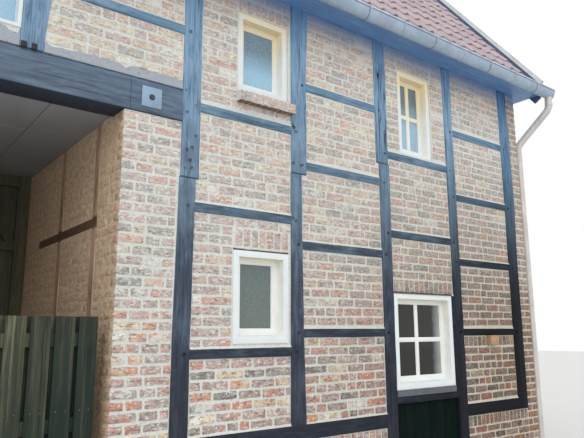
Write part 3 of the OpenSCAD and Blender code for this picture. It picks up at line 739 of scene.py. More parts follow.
def paint_material(name, low_colour, high_colour, change=(3.95, 4.3)):
    """Window paint, a little uneven, creamier upstairs, with grey dirt in places."""
    t = Finish(name, low_colour, Roughness=0.4)
    weather = t.weather(5.0, 0.5)
    t.lay(t.span(t.plus(t.axes["Z"], t.span(t.axes["X"], 0, 2, -0.18, 0)), *change), high_colour)
    t.lay(weather["Mask"], scaled(low_colour, 0.86))
    return t.close(t.span(weather["Speckle"], 0.3, 0.7, 0.35, 0.5), t.grain(1.0, 0.0)["Height"], 0.0008, 0.3)


def frosted_material(name, top, bottom, low, high, figured=0.34):
    """Figured glass whose colours, shaded from its lower to its upper edge, are a painted reflection."""
    t = Finish(name, bottom, Roughness=0.22, IOR=1.45)
    figure = t.put("TexVoronoi", {"Vector": t.place, "Scale": 55.0, "Randomness": 0.9})["Distance"]
    t.lay(t.span(t.axes["Z"], low, high), top)
    t.lay(t.span(figure, 0.15, 0.7, 0.0, figured), [min(1, value * 1.5 + 0.03) for value in bottom])
    return t.close(t.span(t.noise(t.place, 40), 0.3, 0.7, 0.15, 0.35), figure, 0.002, 0.5)


def clear_material(name, top, bottom, low, high, through, curtain=None):
    """Clear old glass over a dim room, with a faint ripple, its colours shaded from its lower to its upper edge as a
    painted reflection.
    """
    t = Finish(name, bottom, Roughness=0.05, IOR=1.45, Transmission_Weight=through)
    ripple = t.noise(t.place, 7, 2)
    t.lay(t.plus(t.span(t.axes["Z"], low, high), t.span(ripple, 0.3, 0.7, -0.2, 0.2)), top)
    if curtain:
        left, right, pale = curtain
        drawn = t.span(t.plus(t.axes["X"], t.span(t.noise(t.place, 5, 2), 0.3, 0.7, -0.02, 0.02)), left, right)
        t.lay(t.times(drawn, t.span(t.axes["Y"], 0.0, -1.0)), pale)
    return t.close(t.span(t.noise(t.place, 25, 4), 0.4, 0.8, 0.03, 0.14), ripple, 0.002, 0.15)


def zinc_material(name, bright, dull):
    """Weathered zinc: spangle, run marks and dull patches."""
    t = Finish(name, bright, Metallic=0.3, Roughness=0.5)
    weather = t.weather(2.5, 0.9)
    runs = t.noise(t.place, (30, 30, 1.2), 4)
    t.lay(weather["Mask"], dull)
    t.lay(t.span(runs, 0.5, 0.75, 0, 0.35), scaled(dull, 0.6))
    t.lay(0.06, t.put("TexVoronoi", {"Vector": t.place, "Scale": 60.0})["Color"], "OVERLAY")
    return t.close(t.span(weather["Speckle"], 0.3, 0.7, 0.45, 0.65), runs, 0.001, 0.3)


def tile_material(look):
    """Red clay tiles, each its own shade, with soot, a bluish bloom and pale growth in patches."""
    t = Finish("Clay tile", Roughness=0.8)
    bloom = [(a + b) / 2 for a, b in zip(look.clay, look.growth)]
    t.colour = t.ramp(t.put("Attribute", attribute_name="tone")["Fac"],
                      [(0.0, look.clay), (0.45, look.clay_pale), (0.75, bloom), (1.0, look.clay)])
    weather = t.weather(1.8, 0.8)
    t.lay(t.times(weather["Mask"], 0.55), look.growth)
    spots = t.span(t.noise(t.place, 34, 5, 0.8), 0.5, 0.64, 0, 0.7)
    t.lay(spots, look.growth)
    t.lay(t.span(t.noise(t.place, 22, 5, 0.75), 0.54, 0.66, 0, 0.5), look.clay_dark)
    return t.close(t.span(spots, 0, 0.6, 0.65, 0.95), weather["Speckle"], 0.003, 0.5)


# Settings

def tint(name, text, value):
    return FloatVectorProperty(name=name, description=text, default=value, subtype="COLOR", size=3, min=0, max=1)


def metres(name, text, value):
    return FloatProperty(name=name, description=text, default=value, unit="LENGTH", subtype="DISTANCE", min=0)


def angle(name, text, degrees):
    return FloatProperty(name=name, description=text, default=math.radians(degrees), subtype="ANGLE")


class BrickSettings(bpy.types.PropertyGroup):
    """Sizes and colours of the brickwork."""
    length: metres("Brick length", "Length of a whole brick with one joint", 0.232)
    course: metres("Course height", "Height of a course with its joint", 0.0825)
    joint: metres("Joint", "Width of the joints", 0.019)
    proud: metres("Proud", "How far the bricks stand out of their mortar", 0.005)
    plum: tint("Plum", "Dark brown bricks and streaks", (0.2, 0.165, 0.15))
    moss: tint("Moss", "Grey green bricks", (0.33, 0.34, 0.3))
    brown: tint("Brown", "Grey brown bricks", (0.37, 0.3, 0.255))
    grey: tint("Grey", "Mauve grey bricks", (0.5, 0.395, 0.36))
    rose: tint("Rose", "Rose bricks", (0.57, 0.355, 0.305))
    red: tint("Red", "Red bricks", (0.66, 0.28, 0.2))
    orange: tint("Orange", "Orange bricks", (0.76, 0.34, 0.17))
    buff: tint("Buff", "Pale brown bricks", (0.67, 0.52, 0.38))
    yellow: tint("Yellow", "Yellow bricks", (0.8, 0.7, 0.42))
    white: tint("White", "White bricks and lime", (0.95, 0.94, 0.9))
    mortar: tint("Mortar", "Mortar and smears", (0.83, 0.86, 0.81))
    # Painted shade low towards the right end, on the bricks and on the joints
    shadowed: tint("Darkened", "Tint of the damp bricks low on the right", (0.36, 0.27, 0.22))
    shadowed_mortar: tint("Shaded mortar", "Tint of the damp joints", (0.75, 0.67, 0.57))
    # Painted shade under the eaves, and the soffit's painted blue shade on the topmost bricks
    shade: tint("Shade", "Tint of the brickwork under the eaves", (0.86, 0.75, 0.7))
    soffit_shade: tint("Soffit shade", "Blue grey of the topmost bricks, in the soffit's shade", (0.17, 0.3, 0.5))
    # Warm tint of the passage walls, partly dirt and partly painted light
    dirt_and_light: tint("Passage tint", "Tint of the passage walls", (1.0, 0.8, 0.6))
    fillet: tint("Fillet", "Mortar run over the bressumer", (0.46, 0.5, 0.56))
    # Painted light that makes the bricks paler higher up
    height_light: FloatProperty(name="Height light", description="How much paler the bricks are above the first rails",
                          default=0.3, min=0, max=1, subtype="FACTOR")
    seed: IntProperty(name="Seed", description="Start of the brick pattern", default=7)


class TimberSettings(bpy.types.PropertyGroup):
    """Sizes and colours of the timber frame."""
    edge: metres("Eased edge", "Width of the eased edges", 0.006)
    wear: metres("Wear", "How far old timbers are out of true", 0.014)
    peg: metres("Peg", "Width of a peg", 0.024)
    # The stained oak's colours up the wall: near black low down, then a painted blue grey sky sheen higher up
    foot: tint("Foot", "Stained oak 0.9 m above the ground", (0.039, 0.043, 0.061))
    low: tint("Low", "Stained oak 1.5 m above the ground", (0.049, 0.058, 0.086))
    knee: tint("Knee", "Stained oak 2.1 m above the ground", (0.074, 0.1, 0.145))
    middle: tint("Middle", "Stained oak with painted sky sheen, 2.45 m above the ground", (0.118, 0.165, 0.228))
    upper: tint("Upper", "Stained oak with painted sky sheen, 2.95 m above the ground", (0.17, 0.255, 0.35))
    high: tint("High", "Stained oak with painted sky sheen under the eaves", (0.225, 0.375, 0.55))
    worn: tint("Worn", "Pale worn streaks", (0.38, 0.52, 0.68))
    # Painted shade of the timbers under the eaves and at the right end
    shade: tint("Shade", "Tint of the timbers under the eaves", (0.6, 0.74, 0.9))
    far: tint("Far end", "Tint of the timbers at the right end", (0.6, 0.68, 0.74))
    brown: tint("Brown", "Dark bare oak in the passage", (0.17, 0.1, 0.065))
    brown_pale: tint("Pale brown", "Pale bare oak in the passage", (0.62, 0.44, 0.3))


class WindowSettings(bpy.types.PropertyGroup):
    """Sizes and colours of the windows."""
    frame_width: metres("Frame width", "Width of the outer frame's face", 0.054)
    sash_width: metres("Sash width", "Width of the sash's face", 0.062)
    sash_setback: metres("Sash setback", "How far the sash stands behind the frame's face", 0.085)
    bar_width: metres("Bar width", "Width of a glazing bar", 0.04)
    depth: metres("Depth", "Depth of the outer frame", 0.12)
    paint: tint("Paint", "Window frames", (0.86, 0.92, 0.93))
    paint_high: tint("Paint, high", "Window frames under the eaves", (1.0, 0.89, 0.6))
    sash: tint("Sash paint", "Sashes downstairs", (0.94, 0.96, 0.93))
    sash_high: tint("Sash paint, high", "Sashes under the eaves", (1.0, 0.85, 0.52))
    # The frames' inner sides are paler as painted light, their undersides darker as painted shade
    reveal: tint("Reveal", "Inner sides of the frames", (0.96, 0.96, 0.92))
    head: tint("Head", "Undersides of the frames downstairs", (0.86, 0.76, 0.52))
    head_high: tint("Head, high", "Undersides of the frames upstairs", (0.82, 0.68, 0.46))
    # The glass colours and their change from bottom to top are painted reflections of the sky
    high_top: tint("Upper glass, top", "Figured glass upstairs, top", (0.15, 0.23, 0.3))
    high_bottom: tint("Upper glass, bottom", "Figured glass upstairs, bottom", (0.36, 0.58, 0.76))
    low_top: tint("Lower glass, top", "Figured glass downstairs, top", (0.12, 0.165, 0.185))
    low_bottom: tint("Lower glass, bottom", "Figured glass downstairs, bottom", (0.14, 0.17, 0.15))
    clear_high: tint("Upper clear glass", "Clear panes upstairs", (0.42, 0.62, 0.78))
    clear_high_top: tint("Upper clear glass, top", "Clear panes upstairs, top", (0.17, 0.22, 0.25))
    clear_low: tint("Lower clear glass", "Clear panes downstairs", (0.02, 0.02, 0.016))
    curtain: tint("Curtain", "Pale cloth behind the lower clear panes", (0.5, 0.54, 0.53))


class PassageSettings(bpy.types.PropertyGroup):
    """Sizes and colours of the passage, its fence and its screen."""
    sheet_gap: metres("Sheet gap", "Gap between ceiling sheets", 0.008)
    sheet: tint("Ceiling sheet", "Ceiling sheets", (0.4, 0.42, 0.46))
    screen: tint("Screen", "Timber screen", (0.055, 0.06, 0.058))
    screen_pale: tint("Screen, worn", "Worn patches of the screen", (0.17, 0.16, 0.1))
    fence: tint("Fence", "Fence boards", (0.03, 0.042, 0.032))
    fence_low: tint("Fence, low", "Darkened lower half of the fence", (0.012, 0.026, 0.02))
    fence_pale: tint("Fence, worn", "Worn fence boards", (0.11, 0.11, 0.07))
    green: tint("Green boards", "Boarded panels under the windows", (0.001, 0.007, 0.006))


class RoofSettings(bpy.types.PropertyGroup):
    """Sizes and colours of the roof."""
    columns: IntProperty(name="Columns", description="Tiles along the eaves", default=43, min=4)
    rows: IntProperty(name="Rows", description="Rows of tiles up a slope", default=16, min=2)
    roll: metres("Roll", "Height of a tile's roll", 0.042)
    tile: metres("Tile thickness", "Thickness of a tile", 0.013)
    tilt: metres("Tilt", "How far a tile's low end stands out over the row below", 0.025)
    clay: tint("Clay", "Clay tiles", (0.48, 0.33, 0.34))
    clay_pale: tint("Pale clay", "Palest clay tiles", (0.6, 0.44, 0.44))
    clay_dark: tint("Dark clay", "Darkest clay tiles", (0.3, 0.22, 0.26))
    growth: tint("Growth", "Bluish bloom and growth on the tiles", (0.5, 0.52, 0.6))
    boards: tint("Eaves boards", "Soffit and fascia boards", (0.14, 0.29, 0.58))
    boards_pale: tint("Eaves boards, worn", "Worn soffit boards", (0.17, 0.34, 0.63))
    barge: tint("Barge boards", "Boards up the verges", (0.1, 0.15, 0.25))
    # The capping's near white is partly the metal's pale grey, partly painted light on its shaded inner face
    capping: tint("Verge capping", "Metal over the barge boards", (0.88, 0.98, 1.0))


class RainwaterSettings(bpy.types.PropertyGroup):
    """Sizes and colours of gutters, pipes and small pieces."""
    bead: metres("Bead", "Radius of the gutter's rolled front edge", 0.009)
    lap: metres("Lap", "Distance between the gutter's laps", 1.0)
    pipe: metres("Pipe radius", "Radius of a downpipe", 0.045)
    zinc: tint("Zinc", "Zinc gutters", (0.42, 0.52, 0.64))
    zinc_dull: tint("Dull zinc", "Weathered zinc gutters", (0.32, 0.41, 0.52))
    pipe_zinc: tint("Pipe zinc", "Zinc downpipes", (0.72, 0.69, 0.66))
    sill_zinc: tint("Sill strip", "Metal strips under the lower four pane windows", (0.14, 0.15, 0.17))
    steel: tint("Steel", "Tie plate", (0.32, 0.46, 0.62))
    pale_wood: tint("Pale wood", "Small wooden box", (0.6, 0.38, 0.2))
    floor_wood: tint("Floor boards", "Boards of the upper floors", (0.45, 0.33, 0.2))
    concrete: tint("Concrete", "Ground floor", (0.5, 0.49, 0.46))


class StageSettings(bpy.types.PropertyGroup):
    """Camera and light."""
    place: FloatVectorProperty(name="Camera", description="Place of the camera", default=(-2.749, -6.8, 1.65),
                               subtype="TRANSLATION", size=3)
    turn: angle("Turn", "Camera's turn from straight ahead", 37.5276)
    rise: angle("Rise", "Camera's upward tilt", 10.832)
    lean: angle("Lean", "Camera's roll", -0.28)
    lens: FloatProperty(name="Lens", description="Focal length on a 36 mm sensor", default=36.37, min=1)
    sky: FloatProperty(name="Sky", description="Strength of the soft light from all round", default=0.82, min=0)
    sun: FloatProperty(name="Sun", description="Strength of the soft sun", default=0.8, min=0)
    floor: tint("Floor", "Plain pale floor", (0.8, 0.8, 0.79))


class HouseSettings(bpy.types.PropertyGroup):
    """Everything that a user may change on the house."""
    bricks: PointerProperty(type=BrickSettings, name="Bricks", description="Brickwork")
    timbers: PointerProperty(type=TimberSettings, name="Timbers", description="Timber frame")
    windows: PointerProperty(type=WindowSettings, name="Windows", description="Windows")
    passage: PointerProperty(type=PassageSettings, name="Passage", description="Passage")
    roof: PointerProperty(type=RoofSettings, name="Roof", description="Roof")
    rainwater: PointerProperty(type=RainwaterSettings, name="Rainwater", description="Gutters, pipes and small pieces")
    stage: PointerProperty(type=StageSettings, name="Stage", description="Camera and light")


# Brickwork

def brick_master(length, proud, seed, depth=0.0):
    """One rough, worn brick with its middle at the wall's face; closed all round if it has a depth."""
    back = depth or 0.02
    face = -proud if depth else 0.002 - proud
    obj = block((-length / 2, face, -BRICK_HIGH / 2), (length / 2, back, BRICK_HIGH / 2))
    with editing(obj):
        if not depth:
            pick("FACE", lambda f: f.normal.y > 0.9)
            bpy.ops.mesh.delete(type="FACE")
        pick("EDGE", lambda e: runs_along(e, 0))
        bpy.ops.mesh.subdivide(number_cuts=3 if length > 0.15 else 2)
        pick("EDGE", lambda e: runs_along(e, 1) and abs(e.verts[0].co.x) > length * 0.49)
        bevel(0.007, 1)
        if depth:
            pick("EDGE", lambda e: e.calc_face_angle(0) > 0.9)
            bevel(0.006, 1)
            select_all()
            shake(0.003, seed)
            return mark_tone(obj)
        select_all()
        shake(0.0055, seed)
        pick("VERT", lambda v: v.co.y < 0.01)
        flatten(face)
        pick("FACE", lambda f: f.normal.y < -0.9)
        bpy.ops.mesh.inset(thickness=0.011)
        push((0, -0.002, 0))
        shake(0.004, seed + 40)
    rim = [not v.select for v in obj.data.vertices]
    mark_tone(obj).data.attributes["rim"].data.foreach_set("value", np.array(rim, np.float32))
    return obj


def plane_triangles(nodes, turn, depth):
    """The triangles of some solids that lie in a wall's face, as points along and up."""
    c, s = math.cos(turn), math.sin(turn)
    found = []
    for node in nodes:
        points, triangles = corners_of(node)
        flat = np.stack([c * points[:, 0] + s * points[:, 1], points[:, 2]], 1)
        out = s * points[:, 0] - c * points[:, 1]
        on = np.abs(out - depth) < 0.0015
        found += [flat[t] for t in triangles[on[triangles].all(1)]]
    return found


def within(triangles, axis, low, high):
    """The triangles between two lines, with 10 mm to spare."""
    return [t for t in triangles if low - 0.01 < t[:, axis].min() and t[:, axis].max() < high + 0.01]


def spans_at(triangles, z):
    """The stretches of a wall's face that a level line crosses."""
    found = []
    for t in triangles:
        if not t[:, 1].min() < z < t[:, 1].max():
            continue
        cuts = []
        for i in range(3):
            (x1, z1), (x2, z2) = t[i], t[(i + 1) % 3]
            if (z1 - z) * (z2 - z) < 0:
                cuts.append(x1 + (x2 - x1) * (z - z1) / (z2 - z1))
        if len(cuts) == 2:
            found.append(sorted(cuts))
    merged = []
    for a, b in sorted(found):
        if merged and a < merged[-1][1] + 0.001:
            merged[-1][1] = max(merged[-1][1], b)
        else:
            merged.append([a, b])
    return merged


def overlap(first, second):
    return [[max(a, c), min(b, d)] for a, b in first for c, d in second if min(b, d) - max(a, c) > 0.02]


def without(stretches, low, high):
    """Stretches with a part taken out."""
    result = []
    for a, b in stretches:
        if high <= a or low >= b:
            result.append([a, b])
            continue
        if low - a > 0.03:
            result.append([a, low])
        if b - high > 0.03:
            result.append([high, b])
    return result


def levels(bottom, top, course):
    """Courses that fill a height, or nearly: what is left over is a wider joint, mostly at the bottom."""
    count = max(1, int((top - bottom) / course + 0.25))
    step = min(course, (top - bottom) / count)
    bottom += 0.7 * (top - bottom - count * step)
    return [(bottom + step * i, bottom + step * (i + 1)) for i in range(count)]


class Bricklayer:
    """Collects the places of the bricks of one piece."""

    def __init__(self, look, masters, seed, smear=0.45, dark=0.1, warm=0.13, sunk=0.0):
        self.look, self.masters, self.smear, self.dark, self.warm, self.sunk = look, masters, smear, dark, warm, sunk
        self.dice = random.Random(seed)
        self.placements = []

    def tone(self):
        """Where a brick falls on the ramp from plum to white."""
        roll = self.dice.random()
        for share, low, high in ((0.02, 0.99, 0.99), (self.warm * 0.25, 0.85, 0.93), (self.warm * 0.75, 0.72, 0.82),
                                 (0.06, 0.54, 0.68), (self.dark, 0.0, 0.13)):
            roll -= share
            if roll < 0:
                return self.dice.uniform(low, high)
        return min(0.56, max(0.14, self.dice.gauss(0.37, 0.11)))

    def place(self, master, matrix):
        self.placements.append((master, matrix, self.tone(), max(0.0, self.dice.gauss(self.smear, 0.22))))

    def brick(self, turn, depth, along, up, length, height, upright=False):
        dice = self.dice
        long_side, short_side = (height, length) if upright else (length, height)
        kind, base = ("whole", WHOLE) if long_side > 0.155 else ("half", HALF)
        turned = spin(math.pi / 2, "Y") if upright else Matrix.Identity(4)
        if dice.random() < 0.5:
            turned = turned @ spin(math.pi, "Y")
        place = spin(turn, "Z") @ at(along, -depth + self.sunk + dice.uniform(-0.001, 0.0025), up)
        shape = Matrix.Diagonal((long_side / base, 1, short_side / BRICK_HIGH, 1))
        self.place(dice.choice(self.masters[kind]), place @ spin(dice.gauss(0, 0.008), "Y") @ turned @ shape)

    def course(self, turn, depth, stretches, low, high, phase, margin=0.012):
        """One course of bricks along its stretches."""
        look, dice = self.look, self.dice
        shift = phase * look.length / 2 + dice.uniform(-0.03, 0.03)
        for a, b in stretches:
            a, b = a + margin, b - margin
            if b - a < 0.035:
                continue
            cuts = [a]
            place = math.ceil((a - shift) / look.length) * look.length + shift
            while place < b:
                if place - cuts[-1] > 0.05 and b - place > 0.05:
                    if place - cuts[-1] > 0.2 and dice.random() < 0.09:
                        cuts.append((cuts[-1] + place) / 2)
                    cuts.append(place + dice.uniform(-0.017, 0.017))
                place += look.length
            cuts.append(b)
            for i, (start, end) in enumerate(zip(cuts, cuts[1:])):
                left = start + (look.joint / 2 if i else 0)
                right = end - (look.joint / 2 if i < len(cuts) - 2 else 0)
                middle, height = (left + right) / 2, high - low - look.joint + dice.uniform(-0.005, 0.004)
                wave = 0.003 * math.sin(middle * 3.1 + low * 9)
                self.brick(turn, depth, middle, (low + high) / 2 + wave, right - left, height)

    def soldiers(self, turn, depth, left, right, low, high, margin=0.012):
        """A row of upright bricks."""
        left, right = left + margin, right - margin
        count = max(1, round((right - left) / 0.078))
        step = (right - left) / count
        for i in range(count):
            width = step - 0.014 + self.dice.uniform(-0.004, 0.003)
            self.brick(turn, depth, left + (i + 0.5) * step, (low + high) / 2, width, high - low - 0.014, True)

    def corner(self, x, y, into_x, into_y, bottom, top, rows, parity):
        """Bricks that wrap a wall's corner, long and short faces in turn."""
        look, step = self.look, (top - bottom) / rows
        for number in range(rows):
            long_x = (number + parity) % 2 == 0
            size_x, size_y = (CORNER_LONG, CORNER_SHORT) if long_x else (CORNER_SHORT, CORNER_LONG)
            centre = at(x + into_x * (size_x / 2 - look.proud), y + into_y * (size_y / 2 - look.proud),
                        bottom + (number + 0.5) * step)
            shape = Matrix.Diagonal((1, 1, (step - look.joint) / BRICK_HIGH, 1))
            turned = Matrix.Identity(4) if long_x else spin(math.pi / 2, "Z")
            self.place(self.dice.choice(self.masters["corner"]), centre @ turned @ shape)


def face_stretches(triangles, low, high):
    """Where a course fits on a wall's face over its whole height."""
    found = spans_at(triangles, low + 0.0113)
    for z in ((low + high) / 2 + 0.0007, high - 0.0117):
        found = overlap(found, spans_at(triangles, z))
    return found


def lay_wall(layer, nodes, turn, depth, bottom, top, rows, corners=(), margin=0.014):
    """Lays the courses of one wall face. corners are (along, side, parity)."""
    triangles = plane_triangles(nodes, turn, depth)
    step = (top - bottom) / rows
    for number in range(rows):
        low = bottom + number * step
        stretches = face_stretches(triangles, low, low + step)
        for along, side, parity in corners:
            size = CORNER_LONG if (number + parity) % 2 == 0 else CORNER_SHORT
            edge = along + side * (size + layer.look.joint - layer.look.proud)
            stretches = without(stretches, *sorted((along - side * 0.05, edge - side * margin)))
        layer.course(turn, depth, stretches, low, low + step, number % 2, margin)


def upright_rows(low, high):
    """Rows of upright bricks in a front panel, as (left, right, low, high)."""
    if low.z < 1.6 and 2.5 < high.z < 2.6 and low.x < 0:
        return [(-0.199, 0.381, 2.346, 2.505)]
    if 2.0 < low.z < 2.1:
        return [(low.x, high.x, low.z, low.z + 0.145)]
    if high.z > 4.6 and 1.6 < low.x and high.x < 2.7:
        return [(1.86, 2.42, 4.485, 4.6)]
    if high.z > 4.6 and -0.6 < low.x < 0 and high.x < 0.5:
        return [(-0.19, 0.395, 4.475, 4.6)]
    if low.x > 2.7 and high.z < 1.65:
        return [(low.x, high.x, high.z - SOLDIER, high.z - 0.006)]
    return []


def lay_panel(layer, node, low, high, turn):
    """Lays one panel between the timbers, on the front or turned to the back."""
    if turn:
        low, high = Vector((-high.x, -high.y, low.z)), Vector((-low.x, -low.y, high.z))
    zones = upright_rows(low, high)
    bottom = zones[0][3] if zones and zones[0][2] == low.z else low.z
    if abs(low.z - BEAM_TOP) < 0.02:
        bottom += 0.07
    top = zones[-1][2] if zones and high.z - zones[-1][3] < 0.01 else high.z
    triangles = within(within(plane_triangles([node], turn, BRICK_Y), 0, low.x, high.x), 1, low.z, high.z)
    course = layer.look.course * (0.93 if low.x > 2.7 and low.z > 3 else 1)
    for number, (z0, z1) in enumerate(levels(bottom, top, course)):
        stretches = face_stretches(triangles, z0, z1)
        for left, right, zone_low, zone_high in zones:
            if min(z1, zone_high) - max(z0, zone_low) > 0.02:
                stretches = without(stretches, left - 0.004, right + 0.004)
        layer.course(turn, BRICK_Y, stretches, z0, z1, number % 2)
    for left, right, zone_low, zone_high in zones:
        over_window = 2 < zone_low < 2.1
        layer.soldiers(turn, BRICK_Y, left, right, zone_low + (0.015 if over_window else 0), zone_high)


def mortar_run(low, high, rise, seed):
    """A sloped run of mortar with a ragged top where a panel stands on a timber."""
    side = -1 if low.y < 0 else 1
    left, right, foot = low.x + 0.002, high.x - 0.002, low.z - 0.001
    profile = ((-0.004, 0), (0.0115, 0), (0.006, rise * 0.6), (0.001, rise), (-0.006, rise))
    points = [(left, side * (BRICK_Y + y), foot + z) for y, z in profile]
    obj = prism(points, (right - left, 0, 0), cuts=max(1, int((right - left) / 0.06)))
    with editing(obj):
        pick("VERT", lambda v: v.co.z > foot + rise * 0.5 and left + 0.01 < v.co.x < right - 0.01)
        steady()
        shake(rise * 0.22, seed + 40)
        pick("VERT", lambda v: abs(v.co.y) > BRICK_Y + 0.0118)
        flatten(side * (BRICK_Y + 0.0115))
    return obj


def sill_bricks(layer, low, high, finishes):
    """Bricks on edge round one sloped window sill."""
    side = -1 if low.y < 0 else 1
    points, _ = corners_of("brick_window_sills")
    front, back = (low.y, high.y) if side < 0 else (high.y, low.y)
    lip = max(z for _, y, z in points if abs(y - front) < 0.001)
    count = round((high.x - low.x) / 0.062)
    step = (high.x - low.x) / count
    y0, y1 = front + side * 0.003, back
    made = []
    for i in range(count):
        left = low.x + i * step + 0.0025
        profile = ((y1, low.z - 0.003), (y0, low.z - 0.003), (y0, lip + 0.002), (y1, high.z + 0.002))
        brick = prism([(left, y, z) for y, z in profile], (step - 0.005, 0, 0), edge=0.003)
        with editing(brick):
            select_all()
            shake(0.003, i + 3)
        fill(mark_tone(brick).data, tone=layer.dice.choice([0.06, 0.14, 0.24, 0.32, 0.58]), smear=0.15)
        for finish in finishes:
            brick.data.materials.append(finish)
        for polygon in brick.data.polygons:
            # Painted shade: the undersides take the dark finish
            polygon.material_index = 1 if polygon.normal.z < -0.8 else 0
        made.append(brick)
    return made


class HOUSE_OT_bricks(bpy.types.Operator):
    """Lays every wall in reclaimed bricks over its mortar"""
    bl_idname = "house.lay_bricks"
    bl_label = "Lay bricks"

    def execute(self, context):
        look = context.scene.half_timbered_house.bricks
        masters = {
            "whole": [brick_master(WHOLE, look.proud, seed) for seed in range(1, 7)],
            "half": [brick_master(HALF, look.proud, seed) for seed in range(7, 11)],
            "corner": [moved(brick_master(CORNER_LONG, look.proud, seed, CORNER_SHORT - look.proud),
                             at(0, look.proud - CORNER_SHORT / 2, 0)) for seed in (11, 12, 13)],
        }
        brick, mortar = brick_material(look), mortar_material("Lime mortar", look.mortar, look)
        wall_rows, top_rows = 42, 18
        house_top, house_rows = WALL_TOP * (1 + top_rows / wall_rows), wall_rows + top_rows

        for number, (node, (name, smear, dark, warm)) in enumerate(PANELS.items()):
            layer = Bricklayer(look, masters, look.seed + number, smear, dark, warm)
            for low, high in solids(node):
                lay_panel(layer, node, low, high, 0 if low.y < 0 else math.pi)
            settle(stamp(layer.placements, "bricks_" + name), "brick", brick, smooth=50)

        left_in, right_in = PASSAGE_X
        for side, turn, tag in ((-1, 0, "front"), (1, math.pi, "back")):
            layer = Bricklayer(look, masters, look.seed + 10 + side, 0.5)
            f = -side
            lay_wall(layer, ["piers", "left_gable_wall", "right_gable_wall"], turn, BRICK_Y, 0, WALL_TOP, wall_rows,
                     [(f * HOUSE_X, -f, 0), (-f * HOUSE_X, f, 0), (f * right_in, f, 1), (f * left_in, -f, 1)], 0.006)
            lay_wall(layer, ["left_gable_wall", "right_gable_wall"], turn, BRICK_Y, WALL_TOP, house_top, top_rows,
                     [(f * HOUSE_X, -f, 0), (-f * HOUSE_X, f, 0)], 0.006)
            for low, high in solids("plinths"):
                if (low.y < 0) != (side < 0):
                    continue
                a, b = (low.x, high.x) if side < 0 else (-high.x, -low.x)
                triangles = within(plane_triangles(["plinths"], turn, BRICK_Y), 0, a, b)
                for number, (z0, z1) in enumerate(levels(0, high.z - SOLDIER, 0.079)):
                    layer.course(turn, BRICK_Y, spans_at(triangles, (z0 + z1) / 2 + 0.0007), z0, z1, number % 2, 0.008)
                layer.soldiers(turn, BRICK_Y, a, b, high.z - SOLDIER, high.z - 0.003, 0.006)
            for x, into in ((HOUSE_X, -1), (-HOUSE_X, 1)):
                layer.corner(x, side * BRICK_Y, into, -side, 0, house_top, house_rows, 0)
            for x, into in ((right_in, 1), (left_in, -1)):
                layer.corner(x, side * BRICK_Y, into, -side, 0, WALL_TOP, wall_rows, 1)
            settle(stamp(layer.placements, "bricks_piers_" + tag), "brick", brick, smooth=50)

        half = math.pi / 2
        gable_rows = round(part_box("right_gable_wall")[1].z / (WALL_TOP / wall_rows))
        for node, turn, tag in (("right_gable_wall", half, "right"), ("left_gable_wall", -half, "left")):
            layer = Bricklayer(look, masters, look.seed + (20 if tag == "right" else 30))
            lay_wall(layer, [node], turn, HOUSE_X, 0, gable_rows * WALL_TOP / wall_rows, gable_rows,
                     [(-BRICK_Y, 1, 1), (BRICK_Y, -1, 1)], 0.004)
            settle(stamp(layer.placements, "bricks_gable_" + tag), "brick", brick, smooth=50)
        for node, turn, depth, tag in (("passage_right_wall", -half, -right_in, "right"),
                                       ("passage_left_wall", half, left_in, "left")):
            layer = Bricklayer(look, masters, look.seed + (40 if tag == "right" else 50), 0.35, 0.15, 0.13, 0.002)
            lay_wall(layer, [node, "piers"], turn, depth, 0, WALL_TOP, wall_rows,
                     [(-BRICK_Y, 1, 0), (BRICK_Y, -1, 0)], 0.008)
            settle(stamp(layer.placements, "bricks_passage_" + tag), "brick", brick, smooth=50)

        # Dark undersides of the sill bricks: painted shade
        sill, shadowed = [], stone_material("Shaded underside", (0.2, 0.15, 0.12), (0.14, 0.11, 0.09), 4)
        for low, high in solids("brick_window_sills"):
            sill += sill_bricks(Bricklayer(look, masters, look.seed + 60), low, high, (brick, shadowed))
        settle(join(sill, "bricks_window_sills"), "brick", [brick, shadowed], smooth=50)

        runs, fillets = [], []
        for node in PANELS:
            for number, (low, high) in enumerate(solids(node)):
                if abs(low.z - BEAM_TOP) < 0.02:
                    under_window = -2.8 < low.x < -2.7
                    fillets.append(mortar_run(low, high, 0.124 if under_window else 0.078, number))
                else:
                    runs.append(mortar_run(low, high, 0.022, number))
        low, high = solids("front_posts_new")[0]
        runs.append(eased_block((low.x - 0.004, -BRICK_Y - 0.004, low.z),
                                (low.x + 0.03, -BRICK_Y + 0.05, high.z), 0.003, 1))
        settle(join(runs, "mortar_runs"), "brick", mortar, smooth=40)
        grey = mortar_material("Grey mortar", look.fillet, look)
        settle(join(fillets, "bressumer_fillets"), "brick", grey, smooth=40)
        drop([m for group in masters.values() for m in group])
        paint_nodes(mortar, *PANELS, "plinths", "piers", "passage_left_wall", "passage_right_wall",
                    "left_gable_wall", "right_gable_wall", "brick_window_sills")
        return {"FINISHED"}


# Timber frame

def timber(low, high, edge, step=0.11):
    """One beam: a box cut along its length with eased long edges."""
    size = high - low
    axis = max(range(3), key=lambda i: size[i])
    obj = block(low, high)
    with editing(obj):
        pick("EDGE", lambda e: runs_along(e, axis))
        bpy.ops.mesh.subdivide(number_cuts=max(1, int(size[axis] / step)))
        pick("EDGE", lambda e: runs_along(e, axis))
        bevel(edge, 2)
    return obj


